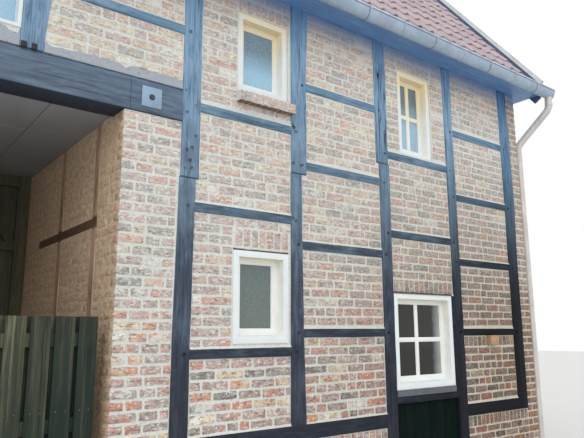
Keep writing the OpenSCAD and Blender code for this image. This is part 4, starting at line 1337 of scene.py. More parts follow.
def worn(obj, strength, scale, seed):
    """Puts a joined frame a little out of true."""
    clouds = bpy.data.textures.new(f"Wear {seed}", "CLOUDS")
    clouds.noise_scale = scale
    clouds.noise_depth = 2
    shift = obj.modifiers.new("Wear", "DISPLACE")
    shift.texture = clouds
    shift.texture_coords = "LOCAL"
    shift.strength = strength
    shift.mid_level = 0.5
    apply_modifiers(obj)
    with editing(obj):
        if pick("VERT", lambda v: v.co.z < 0.001):
            bpy.ops.transform.resize(value=(1, 1, 0), center_override=(0, 0, 0))
    return obj


def leaning(obj, steps):
    """Moves a post's left and right edges sideways, level by level. steps are (height, left, right)."""
    middle = sum(v.co.x for v in obj.data.vertices) / len(obj.data.vertices)
    levels_up = [step[0] for step in steps]
    with editing(obj):
        for z in sorted({round(v.co.z, 3) for v in obj.data.vertices}):
            for side in (0, 1):
                shift = float(np.interp(z, levels_up, [step[1 + side] for step in steps]))
                if shift and pick("VERT", lambda v: abs(v.co.z - z) < 0.0006 and (v.co.x > middle) == bool(side)):
                    push((shift, 0, 0))
    return obj


def round_head(sides, radius, depth, rim, place=(0, 0, 0), turn=0.0):
    """A short round bar with a rim round its end, which faces the front and stays selected."""
    deselect()
    bpy.ops.mesh.primitive_cylinder_add(vertices=sides, radius=radius, depth=depth, rotation=(math.pi / 2, turn, 0),
                                        location=place)
    obj = bpy.context.active_object
    apply_place()
    with editing(obj):
        pick("FACE", lambda f: f.normal.y < -0.9)
        bpy.ops.mesh.inset(thickness=rim)
    return mark_tone(obj)


def peg_master(width):
    """A peg: a short round of oak with a sunk end."""
    obj = round_head(10, width / 2, 0.03, width * 0.14, (0, 0.01, 0))
    with editing(obj):
        push((0, 0.008, 0))
    return obj


# Pegs and peg holes beside no rail: distance to the right of a line left of the passage, and height
PEGS_FROM = 2.749
PEGS = ((2.094, 3.086), (2.138, 3.111), (2.171, 3.215), (2.123, 3.004), (2.082, 2.931), (2.143, 2.941), (2.084, 3.4),
        (2.069, 3.585), (3.178, 3.502), (3.164, 3.16), (3.257, 3.152), (3.161, 2.65), (3.276, 3.945))
# Posts that lean, by node and left edge: at each height, how far the left and right edges move
LEANS = {
    ("front_posts_new", -0.7): [(1.6, 0, 0), (2.86, 0.02, 0.014)],
    ("front_posts_new", 0.4): [(0.9, -0.008, 0.03), (1.7, -0.004, 0.01), (2.3, 0, 0)],
    ("front_posts_new", 3.8): [(1.2, -0.018, 0), (2.4, -0.01, 0), (3.3, 0, 0.03), (4.25, 0, 0.02), (4.5, 0, 0)],
    ("front_posts_old", 0.4): [(4.0, 0, 0), (4.74, 0, 0.03)],
    ("front_posts_old", -1.9): [(3.7, 0, 0), (4.0, 0, 0.026), (4.5, 0, 0.036)],
}


class HOUSE_OT_timbers(bpy.types.Operator):
    """Builds the timber frame, with worn old timbers, eased edges and pegs"""
    bl_idname = "house.raise_timbers"
    bl_label = "Raise timbers"

    def execute(self, context):
        look = context.scene.half_timbered_house.timbers
        new_up = timber_material("New oak, upright", look, True, 0.3, 0.6)
        flat = timber_material("Stained oak with painted sheen, level", look, False, 0.5, 0.62, (0.72, 0.78, 0.77))
        old_up = timber_material("Old oak, upright", look, True, 1.0, 0.66)
        beam = timber_material("Bressumer oak", look, False, 0.5, 0.66, (0.66, 0.58, 0.56), 0.5)
        for name, node, slot, wear, material in (
            ("timber_new_posts", "front_posts_new", "dark_timber", 0.5, new_up),
            ("timber_old_posts", "front_posts_old", "old_timber", 1.1, old_up),
            ("timber_rails", "front_rails", "dark_timber", 0.5, flat),
            ("timber_sill_beams", "sill_beams", "dark_timber", 0.4, flat),
            ("timber_wall_plates", "wall_plates", "dark_timber", 0.3, flat),
            ("timber_back_posts", "back_posts", "dark_timber", 0.7, old_up),
            ("timber_back_rails", "back_rails", "dark_timber", 0.5, flat),
        ):
            parts = []
            for low, high in solids(node):
                if node.endswith("rails") and low.z < 1.0:
                    parts.append(ring_rail(low, high, look.edge))
                else:
                    post = timber(low, high, look.edge if wear > 0.6 else look.edge * 0.6)
                    lean = LEANS.get((node, round(low.x, 1)))
                    parts.append(leaning(post, lean) if lean else post)
            settle(worn(join(parts, name), look.wear * wear, 0.28, name), slot, material, node)

        parts = []
        joint = -1.142
        for low, high in solids("bressumers"):
            side = -1 if low.y < 0 else 1
            for left, right in ((low.x, joint), (joint + 0.003, high.x)):
                face, inner = side * abs(FRONT_Y), side * (abs(FRONT_Y) - 0.25)
                profile = ((inner, low.z), (face, low.z), (face, high.z - 0.041), (side * (BRICK_Y - 0.004), high.z),
                           (inner, high.z))
                points = [(left, y, z) for y, z in profile]
                parts.append(prism(points, (right - left, 0, 0), cuts=int((right - left) / 0.09), edge=0.008))
        beams = worn(join(parts, "timber_bressumers"), look.wear * 0.7, 0.4, "bressumer")
        settle(beams, "old_timber", beam, "bressumers")

        places = [(x - PEGS_FROM, z) for x, z in PEGS]
        for low, high in solids("front_rails"):
            if low.z > 1.0:
                places += [(low.x - 0.05, low.z + 0.04), (high.x + 0.05, low.z + 0.035)]
        peg = peg_master(look.peg)
        dice = random.Random(3)
        placements = []
        for x, z in places:
            turned = at(x, FRONT_Y - 0.001, z) @ spin(dice.random() * 3, "Y")
            placements.append((peg, turned @ Matrix.Scale(dice.uniform(0.75, 1.1), 4), 0, 0))
        for low, high in solids("back_rails"):
            if low.z > 1.0:
                for x in (low.x - 0.05, high.x + 0.05):
                    placements.append((peg, at(x, -FRONT_Y + 0.001, low.z + 0.04) @ spin(math.pi, "Z"), 0, 0))
        pegs = stamp(placements, "timber_pegs")
        drop([peg])
        settle(pegs, "dark_timber", timber_material("Peg end", look, True, 0.3, 0.8, (0.2, 0.2, 0.2)))

        paint_nodes(oak_material("Bare oak", look.brown, look.brown_pale), "passage_wall_timbers")
        return {"FINISHED"}


def ring_rail(low, high, edge):
    """The rail and the strip beside the lower four pane window, as one L of two boards."""
    strip_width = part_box("window_lower_right")[1].x
    rail = timber(low, Vector((high.x, high.y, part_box("metal_window_sills")[0].z)), edge * 0.6)
    upright = timber(Vector((strip_width, low.y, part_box("metal_window_sills")[0].z)), high, edge * 0.6)
    return join([rail, upright])


# Windows

def painted(part, paints, index=0, reveal=False):
    """Gives a window part its paint, and the inner sides of a frame a paler paint as painted light and its undersides a
    darker one as painted shade.
    """
    for paint in paints:
        part.data.materials.append(paint)
    size = part.dimensions
    for polygon in part.data.polygons:
        polygon.material_index = index
        inner = abs(polygon.center.x) < size.x / 2 - 0.01
        # Painted light on the frame's inner sides, painted shade on its undersides
        if reveal and inner and abs(polygon.normal.x) > 0.8:
            polygon.material_index = 2
        elif reveal and polygon.normal.z < -0.8 and 0.1 < polygon.center.z < size.z - 0.005:
            polygon.material_index = 3
    return part


def window_parts(width, height, four, look, paints, slim, wide, shift):
    """Frame, stepped sash, bars and beads of one window that faces the front, and its panes of glass."""
    half, back = width / 2, look.depth
    face, stile, rise = (0.024, 0.014, 0.0) if slim else (look.frame_width, look.sash_width, 0.02)
    inner, low, high, step = half - face, face, height - face, look.sash_setback
    wood = [painted(ring((-half, 0, 0), (half, back, height), face, 0.004), paints, 0, True)]
    sash = [ring((-inner - 0.004, step, low - 0.004), (inner + 0.004 + wide, back - 0.004, high + 0.004 + rise),
                 stile + 0.004, 0.005)]
    left, right, bottom, top = stile - inner, inner + wide - stile, low + stile, high + rise - stile
    bar, middle = look.bar_width / 2, (bottom + top) / 2
    under, over = middle - bar * 0.8, middle + bar * 0.8
    columns, rows = [(left, right)], [(bottom, top)]
    if four:
        columns, rows = [(left, shift - bar), (shift + bar, right)], [(bottom, under), (over, top)]
        sash.append(eased_block((shift - bar, step + 0.004, bottom - 0.01),
                                (shift + bar, back - 0.008, top + 0.01), 0.007))
        sash.append(eased_block((left - 0.01, step + 0.006, under), (right + 0.01, back - 0.01, over), 0.007))
    board = ((0.006, low - 0.001), (step + 0.001, low - 0.001), (step + 0.001, low + 0.016), (0.006, low + 0.003))
    wood.append(painted(prism([(-inner, y, z) for y, z in board], (2 * inner, 0, 0)), paints))
    sheets = []
    for x0, x1 in columns:
        for z0, z1 in rows:
            sash.append(ring((x0 - 0.002, step + 0.01, z0 - 0.002),
                             (x1 + 0.002, step + 0.0175, z1 + 0.002), 0.009, 0.002))
            sheets.append(eased_block((x0 - 0.003, step + 0.017, z0 - 0.003),
                                      (x1 + 0.003, step + 0.023, z1 + 0.003), 0.001, 1))
    return join(wood + [painted(part, paints, 1) for part in sash]), join(sheets)


class HOUSE_OT_windows(bpy.types.Operator):
    """Makes the painted windows with deep stepped sashes, bars, beads and glass"""
    bl_idname = "house.hang_windows"
    bl_label = "Hang windows"

    def execute(self, context):
        look = context.scene.half_timbered_house.windows
        paints = [
            paint_material("Window paint", look.paint, look.paint_high),
            paint_material("Sash paint", look.sash, look.sash_high, (3.85, 4.15)),
            paint_material("Reveal paint, painted light", look.reveal, look.paint_high, (3.9, 4.4)),
            paint_material("Head paint, painted shade", look.head, look.head_high, (2.5, 3.0)),
        ]
        glass, gaps = [], []
        kinds = [
            frosted_material("Figured glass, upper", look.high_top, look.high_bottom, 3.97, 4.2, 0.14),
            frosted_material("Figured glass, lower", look.low_top, look.low_bottom, 1.67, 2.2),
            clear_material("Clear glass, upper", look.clear_high_top, look.clear_high, 3.9, 4.2, 0.1),
            clear_material("Clear glass, lower", look.clear_low, scaled(look.clear_low, 1.15), 1.3, 1.8, 0.3,
                           (2.36, 2.48, look.curtain)),
        ]

        def build(node, low, high):
            """One window of a node, turned to its wall."""
            size = high - low
            x, y = (low.x + high.x) / 2, (low.y + high.y) / 2
            if low.y < -2 and high.y < -2:
                turn, x, y, width = 0, x, low.y, size.x
            elif low.y > 2:
                turn, x, y, width = math.pi, x, high.y, size.x
            elif low.x > 0:
                turn, x, y, width = math.pi / 2, high.x, y, size.y
            else:
                turn, x, y, width = -math.pi / 2, low.x, y, size.y
            four, upper, slim = size.z > 0.8, low.z > 3, node == "window_over_passage"
            wide, shift = 0.018 if upper or four else 0, -0.03 if four and not upper else 0
            wood, sheets = window_parts(width, size.z, four, look, paints, slim, wide, shift)
            recess = 0.022 if upper and not slim else 0
            wall = at(x, y, low.z) @ spin(turn, "Z")
            place = wall @ at(0, recess, 0)
            # Over the lower windows, a dark ragged strip under the bricks: painted shadow
            if not upper:
                front, rise = (-0.009, 0.017) if four else (0.005, 0.013)
                profile = [(-width / 2, y, size.z + z) for y, z in ((front, 0), (0.04, 0), (0.04, rise), (front, rise))]
                gap = prism(profile, (width, 0, 0), cuts=int(width / 0.04))
                with editing(gap):
                    pick("VERT", lambda v: v.co.z > size.z + 0.01)
                    steady()
                    shake(0.005, len(glass))
                    pick("VERT", lambda v: v.co.y < 0.02)
                    flatten(front)
                gaps.append(moved(gap, wall))
            moved(wood, place)
            moved(sheets, place)
            index = (2 if four else 0) + (0 if upper else 1)
            for polygon in sheets.data.polygons:
                polygon.material_index = index
            for material in kinds:
                sheets.data.materials.append(material)
            glass.append(sheets)
            return wood

        for node in ("window_over_passage", "window_upper_left", "window_upper_right", "window_lower_left",
                     "window_lower_right", "back_windows", "gable_windows"):
            woods = [build(node, low, high) for low, high in solids(node)]
            settle(join(woods, "painted_" + node), "window_paint", paints, node)
        # The dark strips over the lower windows are painted shadow
        head_shadow = stone_material("Painted head shadow", (0.07, 0.06, 0.05), (0.12, 0.1, 0.08), 6)
        settle(join(gaps, "window_head_shadows"), "brick", head_shadow)
        settle(join(glass, "panes"), "window_glass", kinds, "window_glass")
        return {"FINISHED"}


# Passage

class HOUSE_OT_passage(bpy.types.Operator):
    """Dresses the passage: ceiling sheets, the timber screen, the fence and the boarded panels"""
    bl_idname = "house.dress_passage"
    bl_label = "Dress passage"

    def execute(self, context):
        look = context.scene.half_timbered_house.passage
        low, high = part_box("passage_ceiling")
        gap = look.sheet_gap / 2
        lines_x = [low.x, -2.86, -1.64, high.x]
        lines_y = [low.y, -1.7, -0.5, 0.7, 1.9, high.y]
        sheets = []
        for left, right in zip(lines_x, lines_x[1:]):
            for near, far in zip(lines_y, lines_y[1:]):
                sheets.append(eased_block((left + gap, near + gap, low.z),
                                          (right - gap, far - gap, high.z - 0.002), 0.002, 1))
        sheets.append(eased_block((low.x + 0.002, low.y + 0.002, high.z - 0.0035),
                                  (high.x - 0.002, high.y - 0.002, high.z), 0.001, 1))
        cement = stone_material("Cement sheet", look.sheet, scaled(look.sheet, 0.85), 0.7, 0.7)
        settle(join(sheets, "ceiling_sheets"), "ceiling_sheet", cement, "passage_ceiling")

        screen = board_material("Screen wood", (look.screen, look.screen_pale), True, 0.16, gloss=0.2)
        paint_nodes(screen, "passage_screen")
        paint_nodes(fence_material(look), "passage_fence")

        screw = round_head(8, 0.006, 0.006, 0.0025)
        with editing(screw):
            push((0, -0.0015, 0))
        fence_low, fence_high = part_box("passage_fence")
        x = fence_low.x + 0.02
        placements = []
        while x + 0.128 < fence_high.x + 0.02:
            for z in (0.19, 1.14):
                for dx in (0.035, 0.095):
                    placements.append((screw, at(x + dx, fence_low.y - 0.001, z), 0, 0))
            x += 0.157
        screws = stamp(placements, "fence_screws")
        drop([screw])
        settle(screws, "zinc", stone_material("Dull screw", (0.1, 0.11, 0.1), (0.06, 0.06, 0.05), 8, 0.6))

        worn_green = [v * 1.5 + 0.002 for v in look.green]
        green = board_material("Green boards", (look.green, worn_green), True, 0.12, 0.8, gloss=0.08)
        panels, boards = [], 8
        for low, high in solids("door_panels"):
            step = (high.x - low.x) / boards
            for i in range(boards):
                panels.append(eased_block((low.x + i * step + 0.0006, low.y, low.z),
                                          (low.x + (i + 1) * step - 0.0006, high.y, high.z), 0.004))
        settle(join(panels, "green_boarded_panels"), "green_boards", green, "door_panels")
        return {"FINISHED"}


# Roof

def tile_master(cover, gauge, roll, thickness, tilt, seed):
    """One S shaped tile on a flat slope: X across, Y up the slope, Z out of it, with its low end at Y = 0."""
    points = []
    count = 9
    for i in range(count + 1):
        u = -0.27 * cover + 1.14 * cover * i / count
        crown = (0.5 + 0.5 * math.cos(2 * math.pi * u / cover)) ** 1.5
        lift = 0.006 if i == 0 else 0.0
        points.append(Vector((u, 0, roll * crown - roll + lift - 0.008)))
    obj = chain(points)
    with editing(obj):
        bpy.ops.mesh.select_mode(type="EDGE")
        select_all()
        extrude((0, gauge + 0.03, -tilt))
        face_outward()
        shake(0.0015, seed)
    up = sum((p.normal for p in obj.data.polygons), Vector())
    if up.z < 0:
        with editing(obj):
            select_all()
            bpy.ops.mesh.flip_normals()
    wall = obj.modifiers.new("Wall", "SOLIDIFY")
    wall.thickness = thickness
    wall.offset = -1
    apply_modifiers(obj)
    with editing(obj):
        pick("FACE", lambda f: f.normal.z < -0.3 and abs(f.normal.y) < 0.5)
        bpy.ops.mesh.delete(type="ONLY_FACE")
    return mark_tone(obj)


def slope_frame(side):
    """From a flat slope, with its eaves edge at Y = 0, to the roof's front or back slope."""
    place = at(0, -ROOF_RUN, ROOF_HIGH.z - ROOF_RUN * math.tan(PITCH)) @ spin(PITCH, "X")
    return place if side < 0 else spin(math.pi, "Z") @ place


class HOUSE_OT_roof(bpy.types.Operator):
    """Covers both slopes with clay tiles and lays the ridge"""
    bl_idname = "house.tile_roof"
    bl_label = "Tile roof"

    def execute(self, context):
        look = context.scene.half_timbered_house.roof
        clay = tile_material(look)
        left, right = ROOF_LOW.x, ROOF_HIGH.x
        cover = (right - left) / look.columns
        length = ROOF_RUN / math.cos(PITCH)
        gauge = length / look.rows
        masters = [tile_master(cover, gauge, look.roll, look.tile, look.tilt, seed) for seed in (1, 2, 3)]
        dice = random.Random(11)
        for side, node, tag in ((-1, "roof_front", "front"), (1, "roof_back", "back")):
            slope = slope_frame(side)
            placements = []
            for row in range(look.rows):
                for column in range(look.columns):
                    x = left + (column + 0.27) * cover + (0 if column else 0.002)
                    place = at(x + dice.uniform(-0.003, 0.003), row * gauge + dice.uniform(0, 0.008),
                               dice.uniform(-0.004, 0))
                    tile = dice.choice(masters)
                    place = slope @ place @ spin(dice.gauss(0, 0.006), "Z")
                    placements.append((tile, place, dice.random(), 0))
            tiles = stamp(placements, "tiles_" + tag)
            deck = eased_block((left + 0.004, 0.02, -0.069), (right - 0.004, length - 0.045, -0.045), 0.003, 1)
            moved(deck, slope)
            mark_tone(deck)
            settle(join([tiles, deck], "tiles_" + tag), "roof_tile", clay, node, smooth=40)
        drop(masters)

        low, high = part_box("ridge_tiles")
        radius = (high.y - low.y) / 2
        count = 22
        step = (high.x - low.x) / count
        centre_z = high.z - radius
        bend, turns = radius * 0.985, [math.pi * i / 12 for i in range(-1, 14)]
        points = [(0, bend * math.cos(turn), max(bend * math.sin(turn), -0.03)) for turn in turns]
        body = strip(points, (step + 0.012, 0, 0), 0.016)
        moved(body, Matrix.Diagonal((1, 0.9, 0.9, 1)))
        collar = strip(points, (0.055, 0, 0), 0.014)
        moved(collar, Matrix.Diagonal((1, 0.94, 0.94, 1)))
        ridge = mark_tone(join([body, collar]))
        placements = [(ridge, at(low.x + i * step, 0, centre_z + dice.uniform(-0.003, 0)), dice.random(), 0)
                      for i in range(count)]
        placements[-1] = (ridge, at(high.x - step - 0.012, 0, centre_z - 0.001), 0.5, 0)
        settle(stamp(placements, "ridge_row"), "roof_tile", clay, "ridge_tiles", smooth=40)
        drop([ridge])
        return {"FINISHED"}


# The verge's metal cover: a top, an upstand over the tiles and an outer lip, each (near, far, low, high)
CAPPING = ((4.3665, 4.4005, 0.0405, 0.0445), (4.3665, 4.3705, -0.002, 0.0445), (4.3965, 4.4005, -0.02, 0.0445))


class HOUSE_OT_eaves(bpy.types.Operator):
    """Boards the eaves and finishes the barge boards with their verge trim"""
    bl_idname = "house.board_eaves"
    bl_label = "Board eaves"

    def execute(self, context):
        look = context.scene.half_timbered_house.roof
        boards = board_material("Eaves boards", (look.boards, look.boards_pale), False, 0.0, 0.4)
        parts = []
        for low, high in solids("eaves_boxes"):
            side = -1 if low.y < 0 else 1
            outer, inner = (low.y, high.y) if side < 0 else (high.y, low.y)
            count = 4
            step = (abs(outer) - 0.024 - abs(inner)) / count
            for i in range(count):
                a = side * (abs(inner) + i * step + 0.0003)
                b = side * (abs(inner) + (i + 1) * step - 0.0003)
                y0, y1 = sorted((a, b))
                parts.append(eased_block((low.x, y0, low.z), (high.x, y1, low.z + 0.02), 0.003, 1))
            y0, y1 = sorted((outer, outer - side * 0.024))
            parts.append(eased_block((low.x, y0, low.z), (high.x, y1, low.z + 0.14), 0.005, 2))
            body = prism([(low.x + 0.003, outer - side * 0.026, low.z + 0.012), (low.x + 0.003, inner, low.z + 0.012),
                          (low.x + 0.003, inner, low.z + 0.012 + (abs(outer) - abs(inner)) * math.tan(PITCH)),
                          (low.x + 0.003, outer - side * 0.026, low.z + 0.06)], (high.x - low.x - 0.006, 0, 0))
            parts.append(body)
        settle(join(parts, "eaves_boarding"), "eaves_boards", boards, "eaves_boxes")

        barge = board_material("Barge boards", (look.barge, scaled(look.barge, 1.4)), False, 0.0, 0.5)
        paint_nodes(barge, "front_barge_boards", "back_barge_boards")
        caps = []
        foot, head = 0.05, ROOF_RUN / math.cos(PITCH) - 0.1
        for turn in (0, math.pi):
            for side in (-1, 1):
                parts = []
                for near, far, low, high in CAPPING:
                    x0, x1 = sorted((side * near, side * far))
                    parts.append(eased_block((x0, foot, low), (x1, head, high), 0.001, 1))
                caps.append(moved(join(parts), spin(turn, "Z") @ slope_frame(-1)))
        # The capping's near white is partly the metal's pale grey, partly painted light on its shaded inner face
        metal = stone_material("Verge capping", look.capping, scaled(look.capping, 0.8), 2, 0.5)
        settle(join(caps, "verge_cappings"), "zinc", metal)
        return {"FINISHED"}


# Rainwater goods and small pieces

def tube(points, radius, sides=16):
    """A round pipe along a line with rounded bends, as a mesh."""
    rounded = [Vector(points[0])]
    for before, here, after in zip(points, points[1:], points[2:]):
        before, here, after = Vector(before), Vector(here), Vector(after)
        into, out = (here - before).normalized(), (after - here).normalized()
        reach = min(0.07, (here - before).length * 0.45, (after - here).length * 0.45)
        a, b = here - into * reach, here + out * reach
        for i in range(7):
            t = i / 6
            rounded.append((1 - t) ** 2 * a + 2 * t * (1 - t) * here + t * t * b)
    rounded.append(Vector(points[-1]))
    curve = bpy.data.curves.new("pipe", "CURVE")
    curve.dimensions = "3D"
    curve.bevel_depth = radius
    curve.bevel_resolution = sides // 4
    curve.use_fill_caps = True
    spline = curve.splines.new("POLY")
    spline.points.add(len(rounded) - 1)
    for point, place in zip(spline.points, rounded):
        point.co = (*place, 1)
    obj = bpy.data.objects.new("pipe", curve)
    bpy.context.scene.collection.objects.link(obj)
    activate(obj)
    bpy.ops.object.convert(target="MESH")
    return bpy.context.active_object


class HOUSE_OT_rainwater(bpy.types.Operator):
    """Hangs the zinc gutters with laps, and the downpipes with sockets and clips"""
    bl_idname = "house.hang_gutters"
    bl_label = "Hang gutters"

    def execute(self, context):
        look = context.scene.half_timbered_house.rainwater
        zinc = zinc_material("Gutter zinc", look.zinc, look.zinc_dull)
        # Painted highlight: a paler zinc for the bead
        bright = zinc_material("Bead zinc, painted highlight", [min(1, v * 1.5) for v in look.zinc], look.zinc)
        # Painted shadow: a dark line under the bead and beside each lap
        shadow_line = stone_material("Painted gutter shadow", scaled(look.zinc_dull, 0.3), scaled(look.zinc_dull, 0.5), 3)
        low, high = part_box("gutters")
        centre_y, centre_z, radius, drop_down = -3.02, 4.778, 0.07, 0.115
        parts = []

        def bowl(x, y, side, grown=0.0):
            """The gutter's rounded profile."""
            across, down = side * (radius + grown), drop_down + grown
            turns = [math.pi * i / 14 for i in range(15)]
            return [(x, y - across * math.cos(t), centre_z - down * math.sin(t)) for t in turns]

        def finished(part, index):
            for finish in (zinc, bright, shadow_line):
                part.data.materials.append(finish)
            part.data.polygons.foreach_set("material_index", np.full(len(part.data.polygons), index, np.int32))
            parts.append(part)

        for side in (-1, 1):
            y = side * abs(centre_y)
            lip = y + side * (radius - 0.003)
            finished(strip(bowl(low.x, y, side), (high.x - low.x, 0, 0), 0.002), 0)
            for out, z, thick, sides, index in ((lip, centre_z - 0.001, look.bead, 16, 1),
                                                (lip + side * 0.001, centre_z - 0.014, 0.005, 8, 2)):
                finished(tube([(low.x, out, z), (high.x, out, z)], thick, sides), index)
            for x in (low.x, high.x):
                finished(prism(bowl(x, y, side), (0.003 if x < 0 else -0.003, 0, 0)), 0)
            x = high.x - 0.42
            while x > low.x + 0.3:
                finished(strip(bowl(x, y, side, 0.003), (0.03, 0, 0), 0.004), 0)
                finished(strip(bowl(x - 0.006, y, side, 0.002), (0.006, 0, 0), 0.003), 2)
                if x - 0.5 > low.x + 0.1:
                    finished(strip(bowl(x - 0.5, y, side, 0.003), (0.022, 0, 0), 0.004), 0)
                x -= look.lap
        settle(join(parts, "zinc_gutters"), "zinc", [zinc, bright, shadow_line], "gutters", smooth=30)

        pipes = []
        x_pipe, y_pipe, x_out = 4.226, 2.655, 4.439
        for side in (-1, 1):
            y, out = side * y_pipe, side * abs(centre_y)
            pipes.append(tube([(x_out, out, 4.722), (x_out, out, 4.526), (x_pipe, y, 4.05), (x_pipe, y, 0.131)],
                              look.pipe))
            for x, off, z, high in ((x_pipe, y, 0.15, 0.07), (x_pipe, y, 1.95, 0.07), (x_pipe, y, 3.85, 0.07),
                                    (x_out, out, 4.56, 0.05)):
                pipes.append(tube([(x, off, z), (x, off, z + high)], look.pipe + 0.003))
            for z in (0.6, 2.15, 3.7):
                pipes.append(tube([(x_pipe, y, z), (x_pipe, y, z + 0.022)], look.pipe + 0.004))
                pipes.append(eased_block((4.139, y - 0.012, z + 0.002), (x_pipe - 0.04, y + 0.012, z + 0.02), 0.002, 1))
        pipe_zinc = zinc_material("Pipe zinc", look.pipe_zinc, scaled(look.pipe_zinc, 0.8))
        settle(join(pipes, "zinc_downpipes"), "zinc", pipe_zinc, "downpipes", smooth=30)
        paint_nodes(zinc_material("Sill zinc", look.sill_zinc, scaled(look.sill_zinc, 0.8)), "metal_window_sills")
        return {"FINISHED"}


class HOUSE_OT_details(bpy.types.Operator):
    """Makes the tie plate and the small wooden box, and finishes the floors"""
    bl_idname = "house.fit_details"
    bl_label = "Fit details"

    def execute(self, context):
        look = context.scene.half_timbered_house.rainwater
        low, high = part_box("tie_plate")
        plate_back = high.y
        plate = eased_block((low.x, plate_back - 0.009, low.z), (high.x, plate_back, high.z), 0.003, 2)
        centre = Vector(((low.x + high.x) / 2, plate_back - 0.012, (low.z + high.z) / 2))
        bolt = round_head(6, 0.017, 0.012, 0.003, centre, 0.3)
        with editing(bolt):
            extrude((0, 0.002, 0))
        washer = peg_master(0.05)
        moved(washer, Matrix.Translation(centre + Vector((0, 0.001, 0))) @ Matrix.Diagonal((1, 0.2, 1, 1)))
        steel = stone_material("Painted steel", look.steel, scaled(look.steel, 0.75), 5, 0.45, 0.001)
        settle(join([plate], "tie_plate_dressed"), "steel_plate", steel, "tie_plate")
        steel = stone_material("Bolt steel", scaled(look.steel, 0.15), scaled(look.steel, 0.26), 5, 0.5, 0.001)
        settle(join([bolt, washer], "tie_bolt"), "steel_plate", steel)

        wedges = []
        for left, right in ((-1.938, -1.9), (-1.868, -1.832)):
            wedge = eased_block((left, FRONT_Y - 0.016, BEAM_TOP - 0.008),
                                (right, FRONT_Y + 0.02, BEAM_TOP + 0.032), 0.004)
            with editing(wedge):
                pick("VERT", lambda v: v.co.z > BEAM_TOP and v.co.y < FRONT_Y)
                push((0, 0.008, 0.006))
            wedges.append(wedge)
        oak = stone_material("Wedge oak", (0.03, 0.03, 0.04), (0.06, 0.055, 0.06), 6)
        settle(join(wedges, "post_wedges"), "dark_timber", oak)

        low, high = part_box("wall_box")
        shell = eased_block(low, high - Vector((0, 0, 0.012)), 0.003, 2)
        lid = eased_block((low.x, low.y, high.z - 0.012), high, 0.003, 2)
        wood = board_material("Pale wood", (look.pale_wood, scaled(look.pale_wood, 0.7)), False, 0.0, 0.6)
        settle(join([shell, lid], "wooden_box"), "pale_wood", wood, "wall_box")
        boards = board_material("Floor boards", (look.floor_wood, scaled(look.floor_wood, 0.7)), False, 0.14, 0.6, "Y")
        paint_nodes(boards, "upper_floors")
        paint_nodes(stone_material("Floor concrete", look.concrete, scaled(look.concrete, 0.8)), "ground_floor")
        return {"FINISHED"}


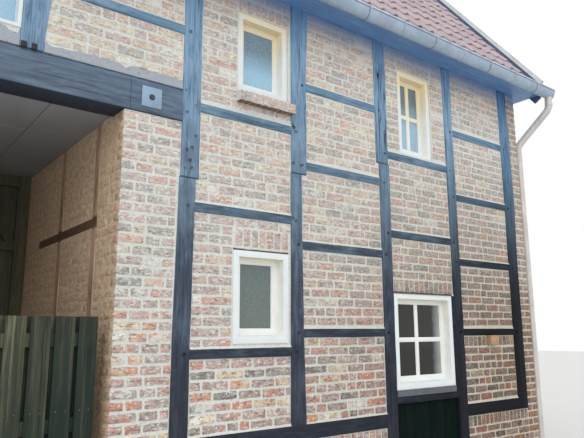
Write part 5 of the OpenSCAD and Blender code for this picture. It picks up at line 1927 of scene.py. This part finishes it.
class HOUSE_OT_stage(bpy.types.Operator):
    """Sets the floor, the soft light and the camera"""
    bl_idname = "house.set_stage"
    bl_label = "Set stage"

    def execute(self, context):
        look = context.scene.half_timbered_house.stage
        scene = context.scene
        deselect()
        bpy.ops.mesh.primitive_plane_add(size=90, location=(0, 0, -0.002))
        floor = bpy.context.active_object
        floor.name = "stage_floor"
        apply_place()
        t = Finish("Stage floor", look.floor, Roughness=0.9)
        t.lay(t.noise(t.place, 0.4), scaled(look.floor, 0.98))
        floor.data.materials.append(t.close())

        world = bpy.data.worlds.new("Soft sky")
        world.use_nodes = True
        scene.world = world
        world.node_tree.nodes.clear()
        t = Recipe(world.node_tree)
        path = t.put("LightPath")
        seen = t.most(path["Is Camera Ray"], t.most(path["Is Glossy Ray"], path["Is Transmission Ray"]))
        strength = t.plus(t.times(seen, 1.0 - look.sky), look.sky)
        sky = t.put("Background", {"Color": (1, 1, 1, 1), "Strength": strength})
        t.put("OutputWorld", {0: sky[0]})

        lamp = bpy.data.lights.new("Soft sun", "SUN")
        lamp.energy = look.sun
        lamp.angle = math.radians(60)
        sun = bpy.data.objects.new("Soft sun", lamp)
        sun.rotation_euler = Euler((math.radians(48), 0, math.radians(-28)))
        scene.collection.objects.link(sun)

        turn, rise, lean = look.turn, look.rise, look.lean
        ahead = Vector((math.sin(turn) * math.cos(rise), math.cos(turn) * math.cos(rise), math.sin(rise)))
        right = Vector((math.cos(turn), -math.sin(turn), 0))
        up = right.cross(ahead)
        right, up = math.cos(lean) * right + math.sin(lean) * up, -math.sin(lean) * right + math.cos(lean) * up
        data = bpy.data.cameras.new("Camera")
        data.sensor_fit = "HORIZONTAL"
        data.sensor_width = 36
        data.lens = look.lens
        camera = bpy.data.objects.new("Camera", data)
        camera.matrix_world = Matrix.Translation(look.place) @ Matrix((right, up, -ahead)).transposed().to_4x4()
        scene.collection.objects.link(camera)
        scene.camera = camera
        scene.view_settings.view_transform = "Standard"
        return {"FINISHED"}


STEPS = (HOUSE_OT_stage, HOUSE_OT_bricks, HOUSE_OT_timbers, HOUSE_OT_windows, HOUSE_OT_passage, HOUSE_OT_roof,
         HOUSE_OT_eaves, HOUSE_OT_rainwater, HOUSE_OT_details)
SETTINGS = (BrickSettings, TimberSettings, WindowSettings, PassageSettings, RoofSettings, RainwaterSettings,
            StageSettings, HouseSettings)


class HOUSE_PT_panel(bpy.types.Panel):
    """Lists the steps that dress the house"""
    bl_label = "Half timbered house"
    bl_idname = "HOUSE_PT_panel"
    bl_space_type = "VIEW_3D"
    bl_region_type = "UI"
    bl_category = "House"

    def draw(self, context):
        for step in STEPS:
            self.layout.operator(step.bl_idname, text=step.bl_label)


def register():
    for item in SETTINGS + STEPS + (HOUSE_PT_panel,):
        bpy.utils.register_class(item)
    bpy.types.Scene.half_timbered_house = PointerProperty(
        type=HouseSettings, name="House", description="Settings of the half timbered house")


def unregister():
    del bpy.types.Scene.half_timbered_house
    for item in reversed(SETTINGS + STEPS + (HOUSE_PT_panel,)):
        bpy.utils.unregister_class(item)


def main():
    """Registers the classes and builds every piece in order."""
    register()
    bpy.ops.house.set_stage()
    bpy.ops.house.lay_bricks()
    bpy.ops.house.raise_timbers()
    bpy.ops.house.hang_windows()
    bpy.ops.house.dress_passage()
    bpy.ops.house.tile_roof()
    bpy.ops.house.board_eaves()
    bpy.ops.house.hang_gutters()
    bpy.ops.house.fit_details()


if __name__ == "__main__":
    main()
